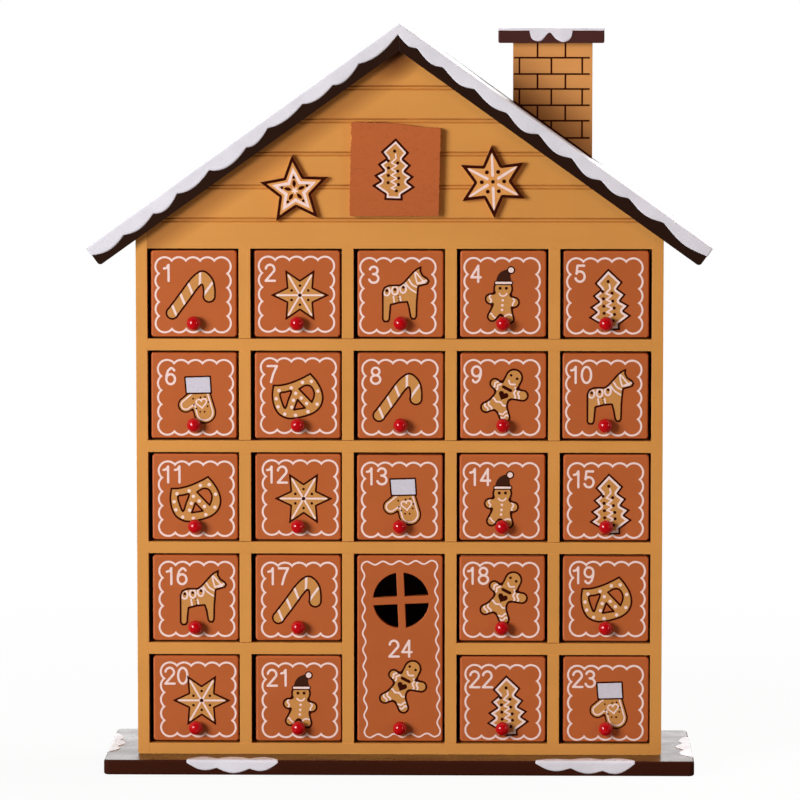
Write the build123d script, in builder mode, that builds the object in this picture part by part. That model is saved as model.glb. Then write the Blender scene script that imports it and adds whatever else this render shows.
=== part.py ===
from build123d import *
import os
from math import cos, pi, radians, sin, tan

# A free-standing wooden advent calendar in the shape of a gingerbread house: twenty-four drawers
# run in a lattice of crossing slats, under a boarded gable and a pitched roof, on a base board.
# Millimetres, +Z up. The front faces -Y, and the origin is the middle of the base's underside.

# Base board
base_width = 314.0
base_depth = 102.0
base_thickness = 8.0
base_corner_radius = 3.0
base_edge_radius = 1.2
front_ledge = 20.0

# House body: the clear openings, and the boards around and between them
column_count = 5
row_count = 5
opening_width = 48.6
opening_height = 48.1
compartment_depth = 60.0
slat_thickness = 6.2
wall_thickness = 6.1
wall_corner_radius = 1.5
floor_thickness = 5.9
ceiling_thickness = 6.4
back_thickness = 4.0
lap_clearance = 0.1
lap_seam = 0.25

# The tall drawer fills the lowest rows of the middle column
tall_column_index = 2
tall_row_count = 2

# Gable front, with pairs of fine grooves that part its boards
gable_thickness = 7.0
gable_side_height = 4.55
groove_course_count = 5
groove_pitch = 17.5
groove_first_height = 14.3
groove_pair_spacing = 1.7
groove_width = 1.0
groove_depth = 0.8

# Roof boards, mitred at the ridge and cut square at the eaves
roof_pitch = 35.6
roof_thickness = 11.5
roof_span = 331.0
roof_overhang = 5.0
eave_radius = 2.0

# Chimney, its foot cut to the slope of the right roof board
chimney_width = 42.4
chimney_depth = 24.0
chimney_centre_x = 81.5
chimney_back_setback = 8.0
chimney_height = 379.2
cap_width = 56.6
cap_depth = 38.0
cap_thickness = 7.4
cap_shift = -0.9
cap_edge_chamfer = 0.6

# Gable ornaments: a hand-sawn square plaque, a five-pointed and a six-pointed star
plaque_width = 47.1
plaque_height = 48.2
plaque_thickness = 4.0
plaque_centre_x = -2.25
plaque_centre_height = 41.6
plaque_corner_shares = ((-0.98, 1.06), (1.02, 0.94), (0.98, -1.0), (-1.02, -1.0))
star_thickness = 3.0
five_star_radius = 18.6
five_star_waist_share = 0.47
five_star_turn = 4.5
five_star_centre_x = -55.3
five_star_centre_height = 30.9
six_star_radius = 18.7
six_star_waist_share = 0.52
six_star_turn = 2.3
six_star_centre_x = 49.5
six_star_centre_height = 35.7

# Drawers: a front board that clears its shelf, and behind it a tray of thin boards with lower sides
side_clearance = 1.5
top_clearance = 1.1
running_clearance = 0.35
front_lift = 0.7
front_recess = 1.0
front_thickness = 5.0
front_corner_chamfer = 0.9
front_edge_chamfer = 0.6
tray_wall = 3.0
tray_floor = 3.0
tray_inset = 0.8
tray_side_drop = 6.0
tray_back_clearance = 2.0

# Where each drawer rests between its slats, as a share of the side clearance to the right
rest_shift_shares = (
    0.30, 0.32, 0.40, 0.16, 0.00, 0.22, 0.48, 0.40, 0.25, -0.16, 0.48, 0.54,
    0.16, 0.00, 0.26, 0.46, 0.54, 0.00, 0.26, 0.48, 0.54, 0.26, 0.48, 0.20,
)

# Knobs: beads with a flat seat, cut with flats round a shoulder and a crown
knob_diameter = 7.5
knob_length = 6.6
knob_height = 7.4
knob_side_count = 20
knob_shoulder = 1.2
knob_shoulder_length = 1.65
knob_crown = 1.3
knob_crown_length = 0.75

# Round window with a cross of glazing bars, cut through the tall drawer's front
window_diameter = 30.0
window_bar = 4.0
window_drop = 24.2
window_shift = 0.6
window_turn = 2.5

# What follows from the sizes above
column_pitch = opening_width + slat_thickness
row_pitch = opening_height + slat_thickness
inner_width = column_count * opening_width + (column_count - 1) * slat_thickness
body_width = inner_width + 2 * wall_thickness
floor_top = base_thickness + floor_thickness
openings_top = floor_top + row_count * opening_height + (row_count - 1) * slat_thickness
front_y = front_ledge - base_depth / 2
back_y = front_y + compartment_depth
lap_y = front_y + compartment_depth / 2
rear_y = back_y + back_thickness
slope = tan(radians(roof_pitch))
apex_z = openings_top + gable_side_height + body_width / 2 * slope
ridge_z = apex_z + roof_thickness / cos(radians(roof_pitch))
front_width = opening_width - 2 * side_clearance
front_face_y = front_y + front_recess
tray_front_y = front_face_y + front_thickness
tray_back_y = back_y - tray_back_clearance
tray_width = front_width - 2 * tray_inset


def upright(y):
    """The plane across the house at depth y, seen from the front."""
    return Plane.XZ.offset(-y)


def roof_underside(x):
    """Height of the roof boards' undersides, where walls and gable meet them."""
    return apex_z - abs(x) * slope


def roof_top(x):
    """Height of the roof boards' upper faces."""
    return ridge_z - abs(x) * slope


def column_left(column):
    """Left edge of an opening, with columns counted from the left."""
    return column * column_pitch - inner_width / 2


def row_floor(row):
    """Lower edge of an opening, with rows counted from the top."""
    return floor_top + (row_count - 1 - row) * row_pitch


def star_points(arms, radius, waist_share, turn):
    """Corners of a star, tip and waist by turns, with its first tip near the top."""
    points = []
    for corner in range(2 * arms):
        reach = radius if corner % 2 == 0 else radius * waist_share
        angle = pi / 2 + radians(turn) + corner * pi / arms
        points.append((reach * cos(angle), reach * sin(angle)))
    return points


os.makedirs("parts", exist_ok=True)

# Base board with softened edges
with BuildPart() as base_board:
    with BuildSketch():
        RectangleRounded(base_width, base_depth, base_corner_radius)
    extrude(amount=base_thickness)
    rims = base_board.faces().filter_by(Axis.Z).edges()
    fillet(rims, base_edge_radius)
base_board.part.label = "base_board"
export_step(base_board.part, "parts/base_board.step")

# Side walls, bevelled at the top to carry the roof
with BuildPart() as side_walls:
    for side in (-1, 1):
        outer = side * body_width / 2
        inner = side * inner_width / 2
        with BuildSketch(upright(front_y)) as wall_profile:
            with BuildLine():
                Polyline(
                    (outer, base_thickness),
                    (inner, base_thickness),
                    (inner, roof_underside(inner)),
                    (outer, roof_underside(outer)),
                    close=True,
                )
            make_face()
            foot = wall_profile.vertices().group_by(Axis.Y)[0].sort_by(Axis.X)
            fillet(foot[-1] if side > 0 else foot[0], wall_corner_radius)
        extrude(amount=-compartment_depth)
side_walls.part.label = "side_walls"
export_step(side_walls.part, "parts/side_walls.step")

# House-shaped back panel that closes every compartment
with BuildPart() as back_panel:
    with BuildSketch(upright(back_y)):
        with BuildLine():
            Polyline(
                (-body_width / 2, base_thickness),
                (body_width / 2, base_thickness),
                (body_width / 2, roof_underside(body_width / 2)),
                (0, apex_z),
                (-body_width / 2, roof_underside(body_width / 2)),
                close=True,
            )
        make_face()
    extrude(amount=-back_thickness)
back_panel.part.label = "back_panel"
export_step(back_panel.part, "parts/back_panel.step")

# Gable front between the walls, scored with pairs of grooves
with BuildPart() as gable_front:
    with BuildSketch(upright(front_y)):
        with BuildLine():
            Polyline(
                (-inner_width / 2, openings_top),
                (inner_width / 2, openings_top),
                (inner_width / 2, roof_underside(inner_width / 2)),
                (0, apex_z),
                (-inner_width / 2, roof_underside(inner_width / 2)),
                close=True,
            )
        make_face()
    extrude(amount=-gable_thickness)
    with BuildSketch(Plane.YZ.offset(-inner_width / 2)):
        for course in range(groove_course_count):
            for line in range(2):
                height = groove_first_height + course * groove_pitch + line * groove_pair_spacing
                middle = openings_top + height
                with BuildLine():
                    Polyline(
                        (front_y, middle - groove_width / 2),
                        (front_y, middle + groove_width / 2),
                        (front_y + groove_depth, middle),
                        close=True,
                    )
                make_face()
    extrude(amount=inner_width, mode=Mode.SUBTRACT)
gable_front.part.label = "gable_front"
export_step(gable_front.part, "parts/gable_front.step")

# Shelves: the floor, the crossing slats and the ceiling; each slat is notched from behind where a
# divider passes, and the lowest one stops on both sides of the tall drawer's compartment
divider_lefts = [column_left(column) + opening_width for column in range(column_count - 1)]
tall_left = column_left(tall_column_index)
tall_right = tall_left + opening_width
shelf_runs = []
for row in range(row_count - 1):
    underside = row_floor(row) - slat_thickness
    if row < row_count - tall_row_count:
        shelf_runs.append((underside, -inner_width / 2, inner_width / 2))
    else:
        shelf_runs.append((underside, -inner_width / 2, tall_left - slat_thickness))
        shelf_runs.append((underside, tall_right + slat_thickness, inner_width / 2))
with BuildPart() as shelves:
    with BuildSketch(Plane.XY.offset(base_thickness)):
        with Locations((0, (front_y + back_y) / 2)):
            Rectangle(inner_width, compartment_depth)
    extrude(amount=floor_thickness)
    with BuildSketch(Plane.XY.offset(openings_top)):
        with Locations((0, front_y + gable_thickness)):
            Rectangle(inner_width, compartment_depth - gable_thickness, align=(Align.CENTER, Align.MIN))
    extrude(amount=ceiling_thickness)
    for underside, left, right in shelf_runs:
        with BuildSketch(Plane.XY.offset(underside)):
            with Locations((left, front_y)):
                Rectangle(right - left, compartment_depth, align=(Align.MIN, Align.MIN))
            crossings = [x - lap_clearance for x in divider_lefts if left < x < right]
            with Locations(*[(x, lap_y) for x in crossings]):
                Rectangle(
                    slat_thickness + 2 * lap_clearance,
                    back_y - lap_y,
                    align=(Align.MIN, Align.MIN),
                    mode=Mode.SUBTRACT,
                )
        extrude(amount=slat_thickness)
shelves.part.label = "shelves"
export_step(shelves.part, "parts/shelves.step")

# Dividers: full-height slats, notched from the front where a shelf passes, with a seam above it
with BuildPart() as dividers:
    for left in divider_lefts:
        right = left + slat_thickness
        with BuildSketch(Plane.YZ.offset(left)):
            with Locations((front_y, floor_top)):
                Rectangle(compartment_depth, openings_top - floor_top, align=(Align.MIN, Align.MIN))
            crossings = [z for z, start, end in shelf_runs if start < left and right < end]
            with Locations(*[(front_y, z) for z in crossings]):
                Rectangle(
                    lap_y - front_y,
                    slat_thickness + lap_seam,
                    align=(Align.MIN, Align.MIN),
                    mode=Mode.SUBTRACT,
                )
        extrude(amount=slat_thickness)
dividers.part.label = "dividers"
export_step(dividers.part, "parts/dividers.step")

# Roof boards; the right one is drawn and the left one mirrors it
eave_x = roof_span / 2
eave_undercut_x = eave_x - roof_thickness * sin(radians(roof_pitch))
eave_undercut_z = roof_top(eave_x) - roof_thickness * cos(radians(roof_pitch))
with BuildPart() as roof_right:
    with BuildSketch(upright(front_y - roof_overhang)) as roof_profile:
        with BuildLine():
            Polyline(
                (0, apex_z),
                (eave_undercut_x, eave_undercut_z),
                (eave_x, roof_top(eave_x)),
                (0, ridge_z),
                close=True,
            )
        make_face()
        fillet(roof_profile.vertices().group_by(Axis.Y)[0], eave_radius)
    extrude(amount=-(compartment_depth + back_thickness + 2 * roof_overhang))
roof_right.part.label = "roof_right"
export_step(roof_right.part, "parts/roof_right.step")

with BuildPart() as roof_left:
    add(roof_right.part.mirror(Plane.YZ))
roof_left.part.label = "roof_left"
export_step(roof_left.part, "parts/roof_left.step")

# Chimney stack standing on the right roof board
chimney_left = chimney_centre_x - chimney_width / 2
chimney_right = chimney_centre_x + chimney_width / 2
chimney_top = base_thickness + chimney_height
chimney_front_y = rear_y + roof_overhang - chimney_back_setback - chimney_depth
with BuildPart() as chimney_stack:
    with BuildSketch(upright(chimney_front_y)):
        with BuildLine():
            Polyline(
                (chimney_left, roof_top(chimney_left)),
                (chimney_right, roof_top(chimney_right)),
                (chimney_right, chimney_top),
                (chimney_left, chimney_top),
                close=True,
            )
        make_face()
    extrude(amount=-chimney_depth)
chimney_stack.part.label = "chimney_stack"
export_step(chimney_stack.part, "parts/chimney_stack.step")

# Chimney cap, a slab with eased edges
with BuildPart() as chimney_cap:
    with BuildSketch(Plane.XY.offset(chimney_top)):
        with Locations((chimney_centre_x + cap_shift, chimney_front_y + chimney_depth / 2)):
            Rectangle(cap_width, cap_depth)
    extrude(amount=cap_thickness)
    chamfer(chimney_cap.edges(), cap_edge_chamfer)
chimney_cap.part.label = "chimney_cap"
export_step(chimney_cap.part, "parts/chimney_cap.step")

# Plaque glued on the gable, with slightly uneven sawn corners
with BuildPart() as gable_plaque:
    with BuildSketch(upright(front_y)):
        with Locations((plaque_centre_x, openings_top + plaque_centre_height)):
            Polygon(
                *[(x * plaque_width / 2, z * plaque_height / 2) for x, z in plaque_corner_shares],
                align=None,
            )
    extrude(amount=plaque_thickness)
gable_plaque.part.label = "gable_plaque"
export_step(gable_plaque.part, "parts/gable_plaque.step")

# Two sawn stars glued on the gable
with BuildPart() as gable_stars:
    with BuildSketch(upright(front_y)):
        with Locations((five_star_centre_x, openings_top + five_star_centre_height)):
            Polygon(
                *star_points(5, five_star_radius, five_star_waist_share, five_star_turn), align=None
            )
        with Locations((six_star_centre_x, openings_top + six_star_centre_height)):
            Polygon(*star_points(6, six_star_radius, six_star_waist_share, six_star_turn), align=None)
    extrude(amount=star_thickness)
gable_stars.part.label = "gable_stars"
export_step(gable_stars.part, "parts/gable_stars.step")


def make_drawer(number, column, row, rows_high):
    """One drawer, as separate boards in one node, and its knob in another."""
    shift = side_clearance * (1 + rest_shift_shares[number - 1])
    left = column_left(column) + shift
    middle = left + front_width / 2
    bottom = row_floor(row) + running_clearance
    opening = rows_high * opening_height + (rows_high - 1) * slat_thickness
    height = opening - running_clearance - top_clearance
    front_bottom = bottom + front_lift
    front_height = height - front_lift
    side_height = height - tray_side_drop - tray_floor
    tray_length = tray_back_y - tray_front_y

    with BuildPart() as front:
        with BuildSketch(upright(front_face_y)) as face_outline:
            with Locations((middle, front_bottom + front_height / 2)):
                Rectangle(front_width, front_height)
            chamfer(face_outline.vertices(), front_corner_chamfer)
        extrude(amount=-front_thickness)
        chamfer(front.faces().sort_by(Axis.Y)[0].edges(), front_edge_chamfer)
        if rows_high > 1:
            with BuildSketch(upright(front_face_y)):
                with Locations((middle + window_shift, front_bottom + front_height - window_drop)):
                    Circle(window_diameter / 2)
                    with Locations(Rotation(0, 0, window_turn)):
                        Rectangle(window_diameter, window_bar, mode=Mode.SUBTRACT)
                        Rectangle(window_bar, window_diameter, mode=Mode.SUBTRACT)
            extrude(amount=-front_thickness, mode=Mode.SUBTRACT)

    with BuildPart() as tray_bottom:
        with BuildSketch(Plane.XY.offset(bottom)):
            with Locations((middle, tray_front_y)):
                Rectangle(tray_width, tray_length, align=(Align.CENTER, Align.MIN))
        extrude(amount=tray_floor)

    with BuildPart() as tray_sides:
        with BuildSketch(Plane.XY.offset(bottom + tray_floor)):
            with Locations((middle, tray_front_y)):
                with GridLocations(tray_width - tray_wall, 0, 2, 1):
                    Rectangle(tray_wall, tray_length, align=(Align.CENTER, Align.MIN))
        extrude(amount=side_height)

    with BuildPart() as tray_back:
        with BuildSketch(Plane.XY.offset(bottom + tray_floor)):
            with Locations((middle, tray_back_y)):
                Rectangle(tray_width - 2 * tray_wall, tray_wall, align=(Align.CENTER, Align.MAX))
        extrude(amount=side_height)

    boards = [front.part, tray_bottom.part, tray_sides.part, tray_back.part]
    label = f"drawer_{number:02d}"
    drawer = Compound([solid for board in boards for solid in board.solids()], label=label)
    export_step(drawer, f"parts/{label}.step")

    with BuildPart() as knob:
        with BuildSketch(upright(front_face_y)):
            with Locations((middle, front_bottom + knob_height)):
                RegularPolygon(knob_diameter / 2, knob_side_count, major_radius=False)
        extrude(amount=knob_length)
        seat = knob.faces().sort_by(Axis.Y)[-1]
        chamfer(seat.edges(), knob_shoulder, knob_shoulder_length, reference=seat)
        shoulder = knob.faces().sort_by(Axis.Y)[0]
        chamfer(shoulder.edges(), knob_shoulder, knob_shoulder_length, reference=shoulder)
        crown = knob.faces().sort_by(Axis.Y)[0]
        chamfer(crown.edges(), knob_crown, knob_crown_length, reference=crown)
    knob.part.label = f"knob_{number:02d}"
    export_step(knob.part, f"parts/knob_{number:02d}.step")


# Twenty-three square drawers, numbered along the rows, and the tall one last
number = 0
for row in range(row_count):
    for column in range(column_count):
        if column == tall_column_index and row >= row_count - tall_row_count:
            continue
        number += 1
        make_drawer(number, column, row, 1)
make_drawer(number + 1, tall_column_index, row_count - 1, tall_row_count)
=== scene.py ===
from math import cos, pi, radians, sin, tan

import bmesh
import bpy
import numpy as np
from bpy.props import FloatProperty, FloatVectorProperty, PointerProperty
from mathutils.geometry import delaunay_2d_cdt
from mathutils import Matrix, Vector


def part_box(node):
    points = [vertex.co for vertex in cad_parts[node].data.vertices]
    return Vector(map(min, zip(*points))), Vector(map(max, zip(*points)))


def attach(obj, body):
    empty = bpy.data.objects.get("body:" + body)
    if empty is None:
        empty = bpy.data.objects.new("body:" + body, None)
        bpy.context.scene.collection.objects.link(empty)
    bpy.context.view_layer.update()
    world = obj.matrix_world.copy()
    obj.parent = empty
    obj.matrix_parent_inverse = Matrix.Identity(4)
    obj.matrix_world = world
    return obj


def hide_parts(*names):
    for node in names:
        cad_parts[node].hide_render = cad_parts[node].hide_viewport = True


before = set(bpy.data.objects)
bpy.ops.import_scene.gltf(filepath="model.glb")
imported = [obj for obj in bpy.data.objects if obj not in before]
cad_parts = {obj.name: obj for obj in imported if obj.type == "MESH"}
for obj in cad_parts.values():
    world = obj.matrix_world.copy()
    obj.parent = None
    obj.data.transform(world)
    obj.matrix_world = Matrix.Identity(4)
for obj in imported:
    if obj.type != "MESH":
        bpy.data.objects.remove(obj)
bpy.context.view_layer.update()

bl_info = {
    "name": "Drawer House Looks",
    "version": (1, 0, 0),
    "blender": (4, 5, 0),
    "location": "View3D > Sidebar > Drawer House",
    "description": "Paint, printed icing, snow and knobs for a house-shaped advent calendar with drawers",
    "category": "Object",
}

MM = 0.001
DRAWERS = range(1, 25)
TALL_DRAWER = 24

# Paints of the printed pictures, in the order of a print's material slots
ICING, COOKIE, LINE, CUFF, CAP = range(5)

# Satin paint and print reflect less than clear varnish, and old dark paint less still
SATIN_IOR = 1.25
DULL_IOR = 1.1

# The roof's slope, and how far it rises for each step towards the ridge
ROOF_PITCH = radians(35.6)
ROOF_RISE = tan(ROOF_PITCH)

# The gable's paired grooves repeat from the lowest course to the highest. Their stains each have a height in
# the
# lowest course, a width and a strength: dark in the upper one of a pair, and a faint halo about the pair.
GROOVE_PITCH = 17.5 * MM
GROOVE_COURSES = (291.5 * MM, 372.0 * MM)
GROOVE_STAINS = ((295.2 * MM, 1.1 * MM, 0.42), (294.6 * MM, 4.6 * MM, 0.06))
# Middle of the painted shade at the gable's tip. Its height is also where the left roof's underside line, for
# the painted shadow below it, passes the middle
GABLE_TIP = (-4.0 * MM, -31.0 * MM, 384.0 * MM)

# Depths at which a drawer's front board gives way to its tray, and a star's sawn edge to its face
TRAY_START = (-25.3 * MM, -25.0 * MM)
STAR_FRONT = (-33.6 * MM, -33.8 * MM)

# The chimney's painted bricks: heights of the level lines, and places of the upright ones by turns
BRICK_BEDS = (379.2, 370.5, 362.5, 353.8, 345.5, 336.3)
BRICK_JOINTS = ((73.3, 88.2), (63.6, 80.7, 97.2))

# Fields that hold a flat shape: left, bottom, right and top about its middle, in millimetres
PRINT_FIELD = (-22.6, -22.6, 22.6, 22.6)
TALL_FIELD = (-22.6, -49, 22.6, 49)
PLAQUE_FIELD = (-27, -28, 27, 28)
TREE_FIELD = (-24, -24, 24, 24)
STAR_FIELD = (-20, -20, 20, 20)
CAP_FIELD = (-40, -30, 40, 30)


# Settings


def from_screen(red, green, blue):
    """A colour as a screen shows it, 0 to 255, turned into linear light."""
    share = np.array([red, green, blue]) / 255
    low = share / 12.92
    high = ((share + 0.055) / 1.055) ** 2.4
    return tuple(float(x) for x in np.where(share <= 0.04045, low, high))


def colour_setting(name, description, screen):
    return FloatVectorProperty(
        name=name,
        description=description,
        subtype="COLOR",
        size=3,
        min=0.0,
        max=1.0,
        default=from_screen(*screen),
    )


def number_setting(name, description, default, unit="NONE", subtype="NONE"):
    return FloatProperty(
        name=name, description=description, default=default, unit=unit, subtype=subtype, precision=5
    )


def length_setting(name, description, millimetres):
    return number_setting(name, description, millimetres * MM, "LENGTH", "DISTANCE")


def angle_setting(name, description, degrees):
    return number_setting(name, description, radians(degrees), "ROTATION", "ANGLE")


class HouseColours(bpy.types.PropertyGroup):
    """Paint and print colours, and the colour of painted shadow."""

    ochre: colour_setting("Ochre", "Walls, gable and slats", (211, 144, 71))
    # Brown of the gable's grooves; darkened, it also paints the shade at the chimney's foot
    groove: colour_setting("Groove", "Stain in the gable's grooves", (146, 78, 30))
    # Colour of the painted shadow under the left roof; darkened, also of the painted shade at the gable's tip
    glaze: colour_setting("Glaze", "Brown glaze under the roof", (110, 44, 9))
    terracotta: colour_setting("Terracotta", "Drawer fronts and plaque", (182, 93, 46))
    tray: colour_setting("Tray", "Stained trays behind the fronts", (84, 42, 26))
    brick: colour_setting("Brick", "Chimney stack", (214, 147, 82))
    roof: colour_setting("Roof", "Roof boards", (42, 25, 18))
    cap: colour_setting("Cap", "Chimney cap", (72, 38, 34))
    base: colour_setting("Base", "Base board", (58, 25, 15))
    snow: colour_setting("Snow", "Painted snow", (227, 222, 229))
    icing: colour_setting("Icing", "Printed icing lines and numbers", (240, 210, 202))
    cuff: colour_setting("Cuff", "Printed mitten cuffs", (207, 199, 209))
    printed_cap: colour_setting("Printed cap", "Caps of the printed figures", (62, 32, 20))
    cookie: colour_setting("Cookie", "Printed gingerbread", (200, 137, 72))
    line: colour_setting("Line", "Printed outlines and dots", (57, 14, 4))
    star_face: colour_setting("Star face", "Tan faces of the gable stars", (221, 150, 80))
    raw_wood: colour_setting("Raw wood", "Sawn edges of the stars", (226, 160, 98))
    knob: colour_setting("Knob", "Lacquered beads", (187, 2, 12))
    floor: colour_setting("Floor", "Studio floor", (238, 238, 238))


class EdgeSizes(bpy.types.PropertyGroup):
    """How far painted edges are eased."""

    board: length_setting("Boards", "Easing of walls, roof and chimney", 0.15)
    slat: length_setting("Slats", "Easing of shelves, dividers and cap", 0.15)
    front: length_setting("Drawers", "Easing on drawer boards", 0.6)
    ornament: length_setting("Plaque", "Easing of the plaque", 0.3)
    star: length_setting("Stars", "Easing of the stars", 0.15)


class PrintSizes(bpy.types.PropertyGroup):
    """Sizes of the printed pictures."""

    coat: length_setting("Coat", "Thickness of one printed coat", 0.05)
    border_reach: length_setting("Border reach", "From the middle to a corner lobe's centre", 15.1)
    border_lobe: length_setting("Border lobe", "Radius of a border lobe", 4.9)
    border_line: length_setting("Border line", "Width of the border line", 1.05)
    digit_height: length_setting("Number height", "Height of a number along its centre line", 8.55)
    digit_width: length_setting("Number width", "Width of a number along its centre line", 4.95)
    digit_line: length_setting("Number line", "Width of a number's line", 1.22)
    brick_line: length_setting("Brick line", "Width of the lines between bricks", 0.95)
    outline: length_setting("Outline", "Width of the dark outlines", 0.85)


class SnowSizes(bpy.types.PropertyGroup):
    """Sizes of the painted snow."""

    coat: length_setting("Coat", "Thickness of the snow paint", 0.3)
    hang: number_setting("Hang", "How far the snow hangs, as a share", 0.97, subtype="FACTOR")


class StageSizes(bpy.types.PropertyGroup):
    """Camera and studio lights."""

    camera_side: length_setting("Camera side", "Camera's place to the right of the middle", 47.7)
    camera_distance: length_setting("Camera distance", "Camera's place in front of the middle", 2622.5)
    camera_height: length_setting("Camera height", "Camera's height above the floor", 453.8)
    camera_pitch: angle_setting("Camera pitch", "Angle that the camera looks down", 5.622)
    camera_turn: angle_setting("Camera turn", "Angle that the camera is turned to the left", 1.047)
    lens: number_setting("Lens", "Focal length", 220.5, "CAMERA")
    key: number_setting("Key", "Power of the light at the left", 42.5, "POWER")
    fill: number_setting("Fill", "Power of the light at the right", 4.5, "POWER")
    top: number_setting("Top", "Power of the light above", 29.0, "POWER")
    room: number_setting("Room", "Strength of the light from all round", 0.06)
    warm: colour_setting("Warm light", "Tint of the fill and the room", (255, 222, 190))
    cool: colour_setting("Cool light", "Tint of the key", (248, 252, 255))
    backdrop: number_setting("Backdrop", "Brightness of the room behind the house in a gloss", 1.85)
    bounce: number_setting("Bounce", "Share of the floor's tone that its bounced light has", 0.35)
    dim: number_setting("Dim side", "Brightness of the room before the house in a gloss", 0.04)


# Flat shapes. Each is a function of two arrays, right and up in millimetres, that gives the distance to
# the shape's edge, below nothing inside.


def disc(centre, radius):
    """Distance to a point, less the radius."""
    return lambda u, v: np.hypot(u - centre[0], v - centre[1]) - radius


def from_run(u, v, start, end):
    """How far along a straight run the nearest point of it lies, 0 to 1, and the distance to that point."""
    run = end - start
    along = np.clip(((u - start[0]) * run[0] + (v - start[1]) * run[1]) / max(run @ run, 1e-9), 0, 1)
    return along, np.hypot(u - start[0] - along * run[0], v - start[1] - along * run[1])


def stroke(points, width, end_width=None):
    """Distance to the nearest of the runs between points, less a half width that changes evenly along all."""
    line = np.asarray(points, float)
    halves = np.linspace(width, width if end_width is None else end_width, len(line)) / 2

    def reach(u, v):
        nearest = np.full(np.shape(u), np.inf)
        for start, end, half, next_half in zip(line[:-1], line[1:], halves[:-1], halves[1:]):
            along, gap = from_run(u, v, start, end)
            nearest = np.minimum(nearest, gap - half - along * (next_half - half))
        return nearest

    return reach


def polygon(points, rounding=0.0):
    """Distance to the nearest side, signed by counting the sides that a level ray crosses."""
    corners = np.asarray(points, float)

    def reach(u, v):
        nearest = np.full(np.shape(u), np.inf)
        inside = np.zeros(np.shape(u), bool)
        for start, end in zip(corners, np.roll(corners, -1, 0)):
            nearest = np.minimum(nearest, from_run(u, v, start, end)[1])
            spans = (start[1] > v) != (end[1] > v)
            run = end - start
            inside ^= spans & (u < start[0] + (v - start[1]) * run[0] / (run[1] if run[1] else 1.0))
        return np.where(inside, -nearest, nearest) - rounding

    return reach


def rectangle(half_width, half_height, rounding=0.0):
    """A level rectangle about the middle."""
    signs = np.array([(-1, -1), (1, -1), (1, 1), (-1, 1)])
    return polygon(signs * (half_width, half_height), rounding)


def joined(*shapes):
    """The nearest of several shapes."""
    return lambda u, v: np.minimum.reduce([shape(u, v) for shape in shapes])


def melted(softness, *shapes):
    """Several shapes that flow together: each step takes the nearer one, and a little more where both
    are near."""

    def reach(u, v):
        total = shapes[0](u, v)
        for shape in shapes[1:]:
            other = shape(u, v)
            mix = np.clip(0.5 + 0.5 * (other - total) / softness, 0, 1)
            total = other * (1 - mix) + total * mix - softness * mix * (1 - mix)
        return total

    return reach


def common(*shapes):
    """Where all shapes overlap."""
    return lambda u, v: np.maximum.reduce([shape(u, v) for shape in shapes])


def without(shape, *holes):
    """A shape less its holes."""
    return lambda u, v: np.maximum.reduce([shape(u, v)] + [-hole(u, v) for hole in holes])


def grown(shape, amount):
    """A shape whose edge has moved outwards."""
    return lambda u, v: shape(u, v) - amount


def ring(shape, outer, inner):
    """The band between two depths inside a shape's edge."""
    return lambda u, v: np.maximum(shape(u, v) + outer, -shape(u, v) - inner)


def placed(shape, shift, turn, size=1.0):
    """A shape enlarged and turned about its own origin and then moved."""
    c, s = cos(turn), sin(turn)

    def reach(u, v):
        x, y = (u - shift[0]) / size, (v - shift[1]) / size
        return shape(c * x + s * y, c * y - s * x) * size

    return reach


def nicked_board(half):
    """A board sawn a little askew, with small nicks along its left and upper edges: waves of unlike length
    multiplied together, and one rounded chip."""
    shares = ((-0.96, 1.0), (-0.2, 0.985), (0.74, 0.885), (1.0, 0.875), (0.96, -1.0), (-1.0, -1.0))
    rounding = 0.9
    sawn = polygon(np.array(shares) * (half - rounding), rounding)

    def reach(u, v):
        ragged = np.sin(v * 2.3 + 1) * np.sin(v * 0.9) * 0.22 + np.sin(u * 1.9) * np.sin(u * 0.6 + 2) * 0.16
        chip = 0.9 * np.exp(-((u + half[0]) ** 2 + (v - 16) ** 2) / 2)
        return sawn(u, v) + ragged + chip

    return reach


# Lines of points, right and up


def ray(angle, length):
    """A point at an angle and a distance from the middle."""
    return np.array([cos(angle), sin(angle)]) * length


def evenly_round(count, start=0.0):
    """Angles that share a full turn evenly."""
    return start + np.arange(count) * 2 * pi / count


def smooth_line(points, closed=False, steps=7):
    """A curve through points: each stretch is a cubic whose slope at a point follows its two neighbours."""
    knots = np.asarray(points, float)
    count = len(knots)
    if closed:
        before, after, last = np.roll(knots, 1, 0), np.roll(knots, -1, 0), np.roll(knots, -2, 0)
    else:
        before = np.vstack([2 * knots[:1] - knots[1:2], knots[:-1]])[: count - 1]
        after = knots[1:]
        last = np.vstack([knots[2:], 2 * knots[-1:] - knots[-2:-1]])
        knots = knots[:-1]
    t = (np.arange(steps) / steps)[None, :, None]
    a, b, c, d = before[:, None], knots[:, None], after[:, None], last[:, None]
    curve = 2 * b + (c - a) * t + (2 * a - 5 * b + 4 * c - d) * t**2 + (3 * b - a - 3 * c + d) * t**3
    curve = 0.5 * curve.reshape(-1, 2)
    return curve if closed else np.vstack([curve, np.asarray(points, float)[-1:]])


def arc(centre, radii, start, end, steps=14):
    """Points on an ellipse between two angles in degrees."""
    angle = np.radians(np.linspace(start, end, steps))
    return np.column_stack([centre[0] + radii[0] * np.cos(angle), centre[1] + radii[1] * np.sin(angle)])


def wave(start, end, turns, swing, steps=18):
    """A line from start to end that swings evenly to both sides."""
    a, b = np.asarray(start, float), np.asarray(end, float)
    t = np.linspace(0, 1, steps)[:, None]
    across = np.array([a[1] - b[1], b[0] - a[0]]) / np.hypot(*(b - a))
    return a + (b - a) * t + across * swing * np.sin(2 * pi * turns * t)


def star_corners(arms, radius, waist, turn):
    """Tips and waists by turns, evenly round."""
    angle = evenly_round(2 * arms, turn)
    reach = np.where(np.arange(2 * arms) % 2 == 0, radius, waist)
    return np.column_stack([reach * np.cos(angle), reach * np.sin(angle)])


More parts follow.
